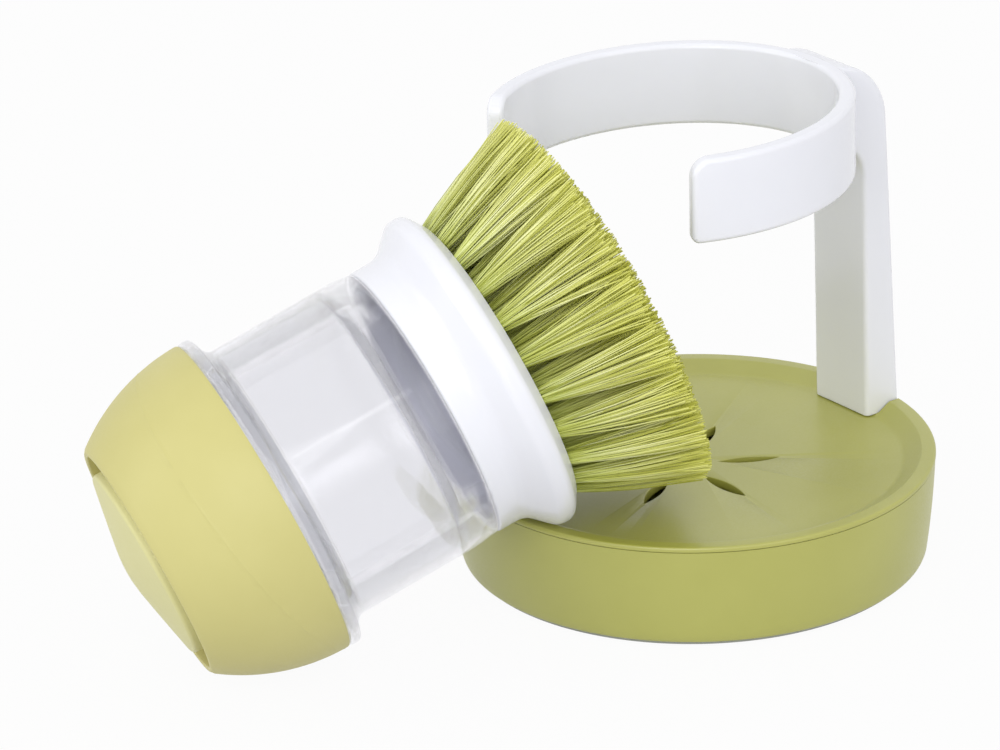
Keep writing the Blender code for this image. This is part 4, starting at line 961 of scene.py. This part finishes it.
CAP_RADIUS = 34.2
CAP_CURVE = 42.1
CAP_HEIGHT = 26.1
CAP_WALL = 2.0
CAP_MOUTH_RADIUS = 23.8
LEDGE_TOP = 23.7
LEDGE_UNDER = 22.5
LEDGE_BORE = 20.6
CAP_TOP_EDGE = 0.6              # height of the rounding round the mouth
CAP_TOP_TUCK = 0.3              # how far that goes in
CAP_FOOT_EDGE = 0.3             # and the same at the cap's rim
CAP_FOOT_TUCK = 0.1
PARTING_LEVEL = 4.9
PARTING_SLOPE = (-0.20, -0.248, 1.0)
PARTING_WIDTH = 0.36
PARTING_RISE = 0.07
OUTER_SKIN = 0.2                # what lies nearer to the outside than this is outside


def cap_side(height, inset=0.0):
    """Radius of the cap's curved side."""
    return CAP_RADIUS - CAP_CURVE + math.sqrt(CAP_CURVE ** 2 - height ** 2) - inset


cap_shell = spun("green_cap_shell", (
    *side_points(cap_side, CAP_HEIGHT - CAP_TOP_EDGE, CAP_FOOT_EDGE, 24),
    (cap_side(0) - CAP_FOOT_TUCK, 0.0),
    (cap_side(0) - CAP_WALL, 0.0),
    *side_points(cap_side, CAP_FOOT_EDGE, LEDGE_UNDER, 8, CAP_WALL),
    (LEDGE_BORE, LEDGE_UNDER),
    (LEDGE_BORE, LEDGE_TOP),
    (CAP_MOUTH_RADIUS, LEDGE_TOP, 0.3),
    (CAP_MOUTH_RADIUS, CAP_HEIGHT, 0.4),
    (cap_side(CAP_HEIGHT) - CAP_TOP_TUCK, CAP_HEIGHT, 0.4),
), steps=BRUSH_STEPS)
# The mould's halves leave a fine raised line across the side: three cuts, of which the
# middle one is raised on the outside.
bpy.ops.object.mode_set(mode="EDIT")
for rise in (-PARTING_WIDTH / 2, PARTING_WIDTH / 2, 0):
    bpy.ops.mesh.select_all(action="SELECT")
    bpy.ops.mesh.bisect(plane_co=(0, 0, (PARTING_LEVEL + rise) * MM), plane_no=PARTING_SLOPE)
bpy.ops.mesh.select_all(action="DESELECT")
bpy.ops.object.mode_set(mode="OBJECT")
for point in cap_shell.data.vertices:
    spot = point.co / MM
    height = (spot - Vector((0, 0, PARTING_LEVEL))).dot(Vector(PARTING_SLOPE))
    outside = spot.xy.length > cap_side(spot.z) - OUTER_SKIN
    point.select = abs(height) < SAME_PLACE and outside
bpy.ops.object.mode_set(mode="EDIT")
bpy.ops.transform.shrink_fatten(value=PARTING_RISE * MM)
bpy.ops.object.mode_set(mode="OBJECT")
smooth(cap_shell, 50)
lay_down(cap_shell)

# Soft-touch skin, moulded over polypropylene: velvety, with a broad dim sheen.
soft_touch_green = moulded("soft_touch_green", "C9C27D", "CEC783", 0.5, grain=0.5, depth=0.004)
cap_shell.data.materials.append(soft_touch_green)
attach(cap_shell, "cap")
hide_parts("cap_shell")


# Button: the crowned disc in the cap's mouth that the palm pushes to pump soap.
# The same soft-touch moulding, with a flange behind the ledge and a boss in its middle.

BUTTON_RADIUS = 20.1
BUTTON_SIDE_TOP = 27.1
BUTTON_WALL = 1.6
BUTTON_CEILING = 28.1
CROWN = ((0.0, 30.5), (2.5, 30.42), (5.0, 30.1), (10.0, 29.15, 20.0), (15.0, 28.15, 20.0))
FLANGE_TOP = 22.2
FLANGE_UNDER = 20.9
FLANGE_RADIUS = 23.0
BOSS_RADIUS = 3.5
BOSS_UNDER = 21.7

button = spun("green_button", (
    *CROWN,
    (BUTTON_RADIUS, BUTTON_SIDE_TOP, 0.8),
    (BUTTON_RADIUS, FLANGE_TOP),
    (FLANGE_RADIUS, FLANGE_TOP),
    (FLANGE_RADIUS, FLANGE_UNDER),
    (BUTTON_RADIUS - BUTTON_WALL, FLANGE_UNDER),
    (BUTTON_RADIUS - BUTTON_WALL, BUTTON_SIDE_TOP - BUTTON_WALL),
    (BOSS_RADIUS, BUTTON_CEILING),
    (BOSS_RADIUS, BOSS_UNDER),
    (0.0, BOSS_UNDER),
), closed=False, steps=BRUSH_STEPS)
lay_down(button)

# The same skin, in a paler green on the button.
pale_button_green = moulded("pale_soft_touch_green", "D8D498", "DCD89E", 0.5, grain=0.5, depth=0.004)
button.data.materials.append(pale_button_green)
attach(button, "push_button")
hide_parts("button")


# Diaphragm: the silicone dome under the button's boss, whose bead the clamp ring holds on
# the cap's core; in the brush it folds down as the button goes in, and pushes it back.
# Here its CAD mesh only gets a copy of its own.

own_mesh(frame["nodes"]["diaphragm"])
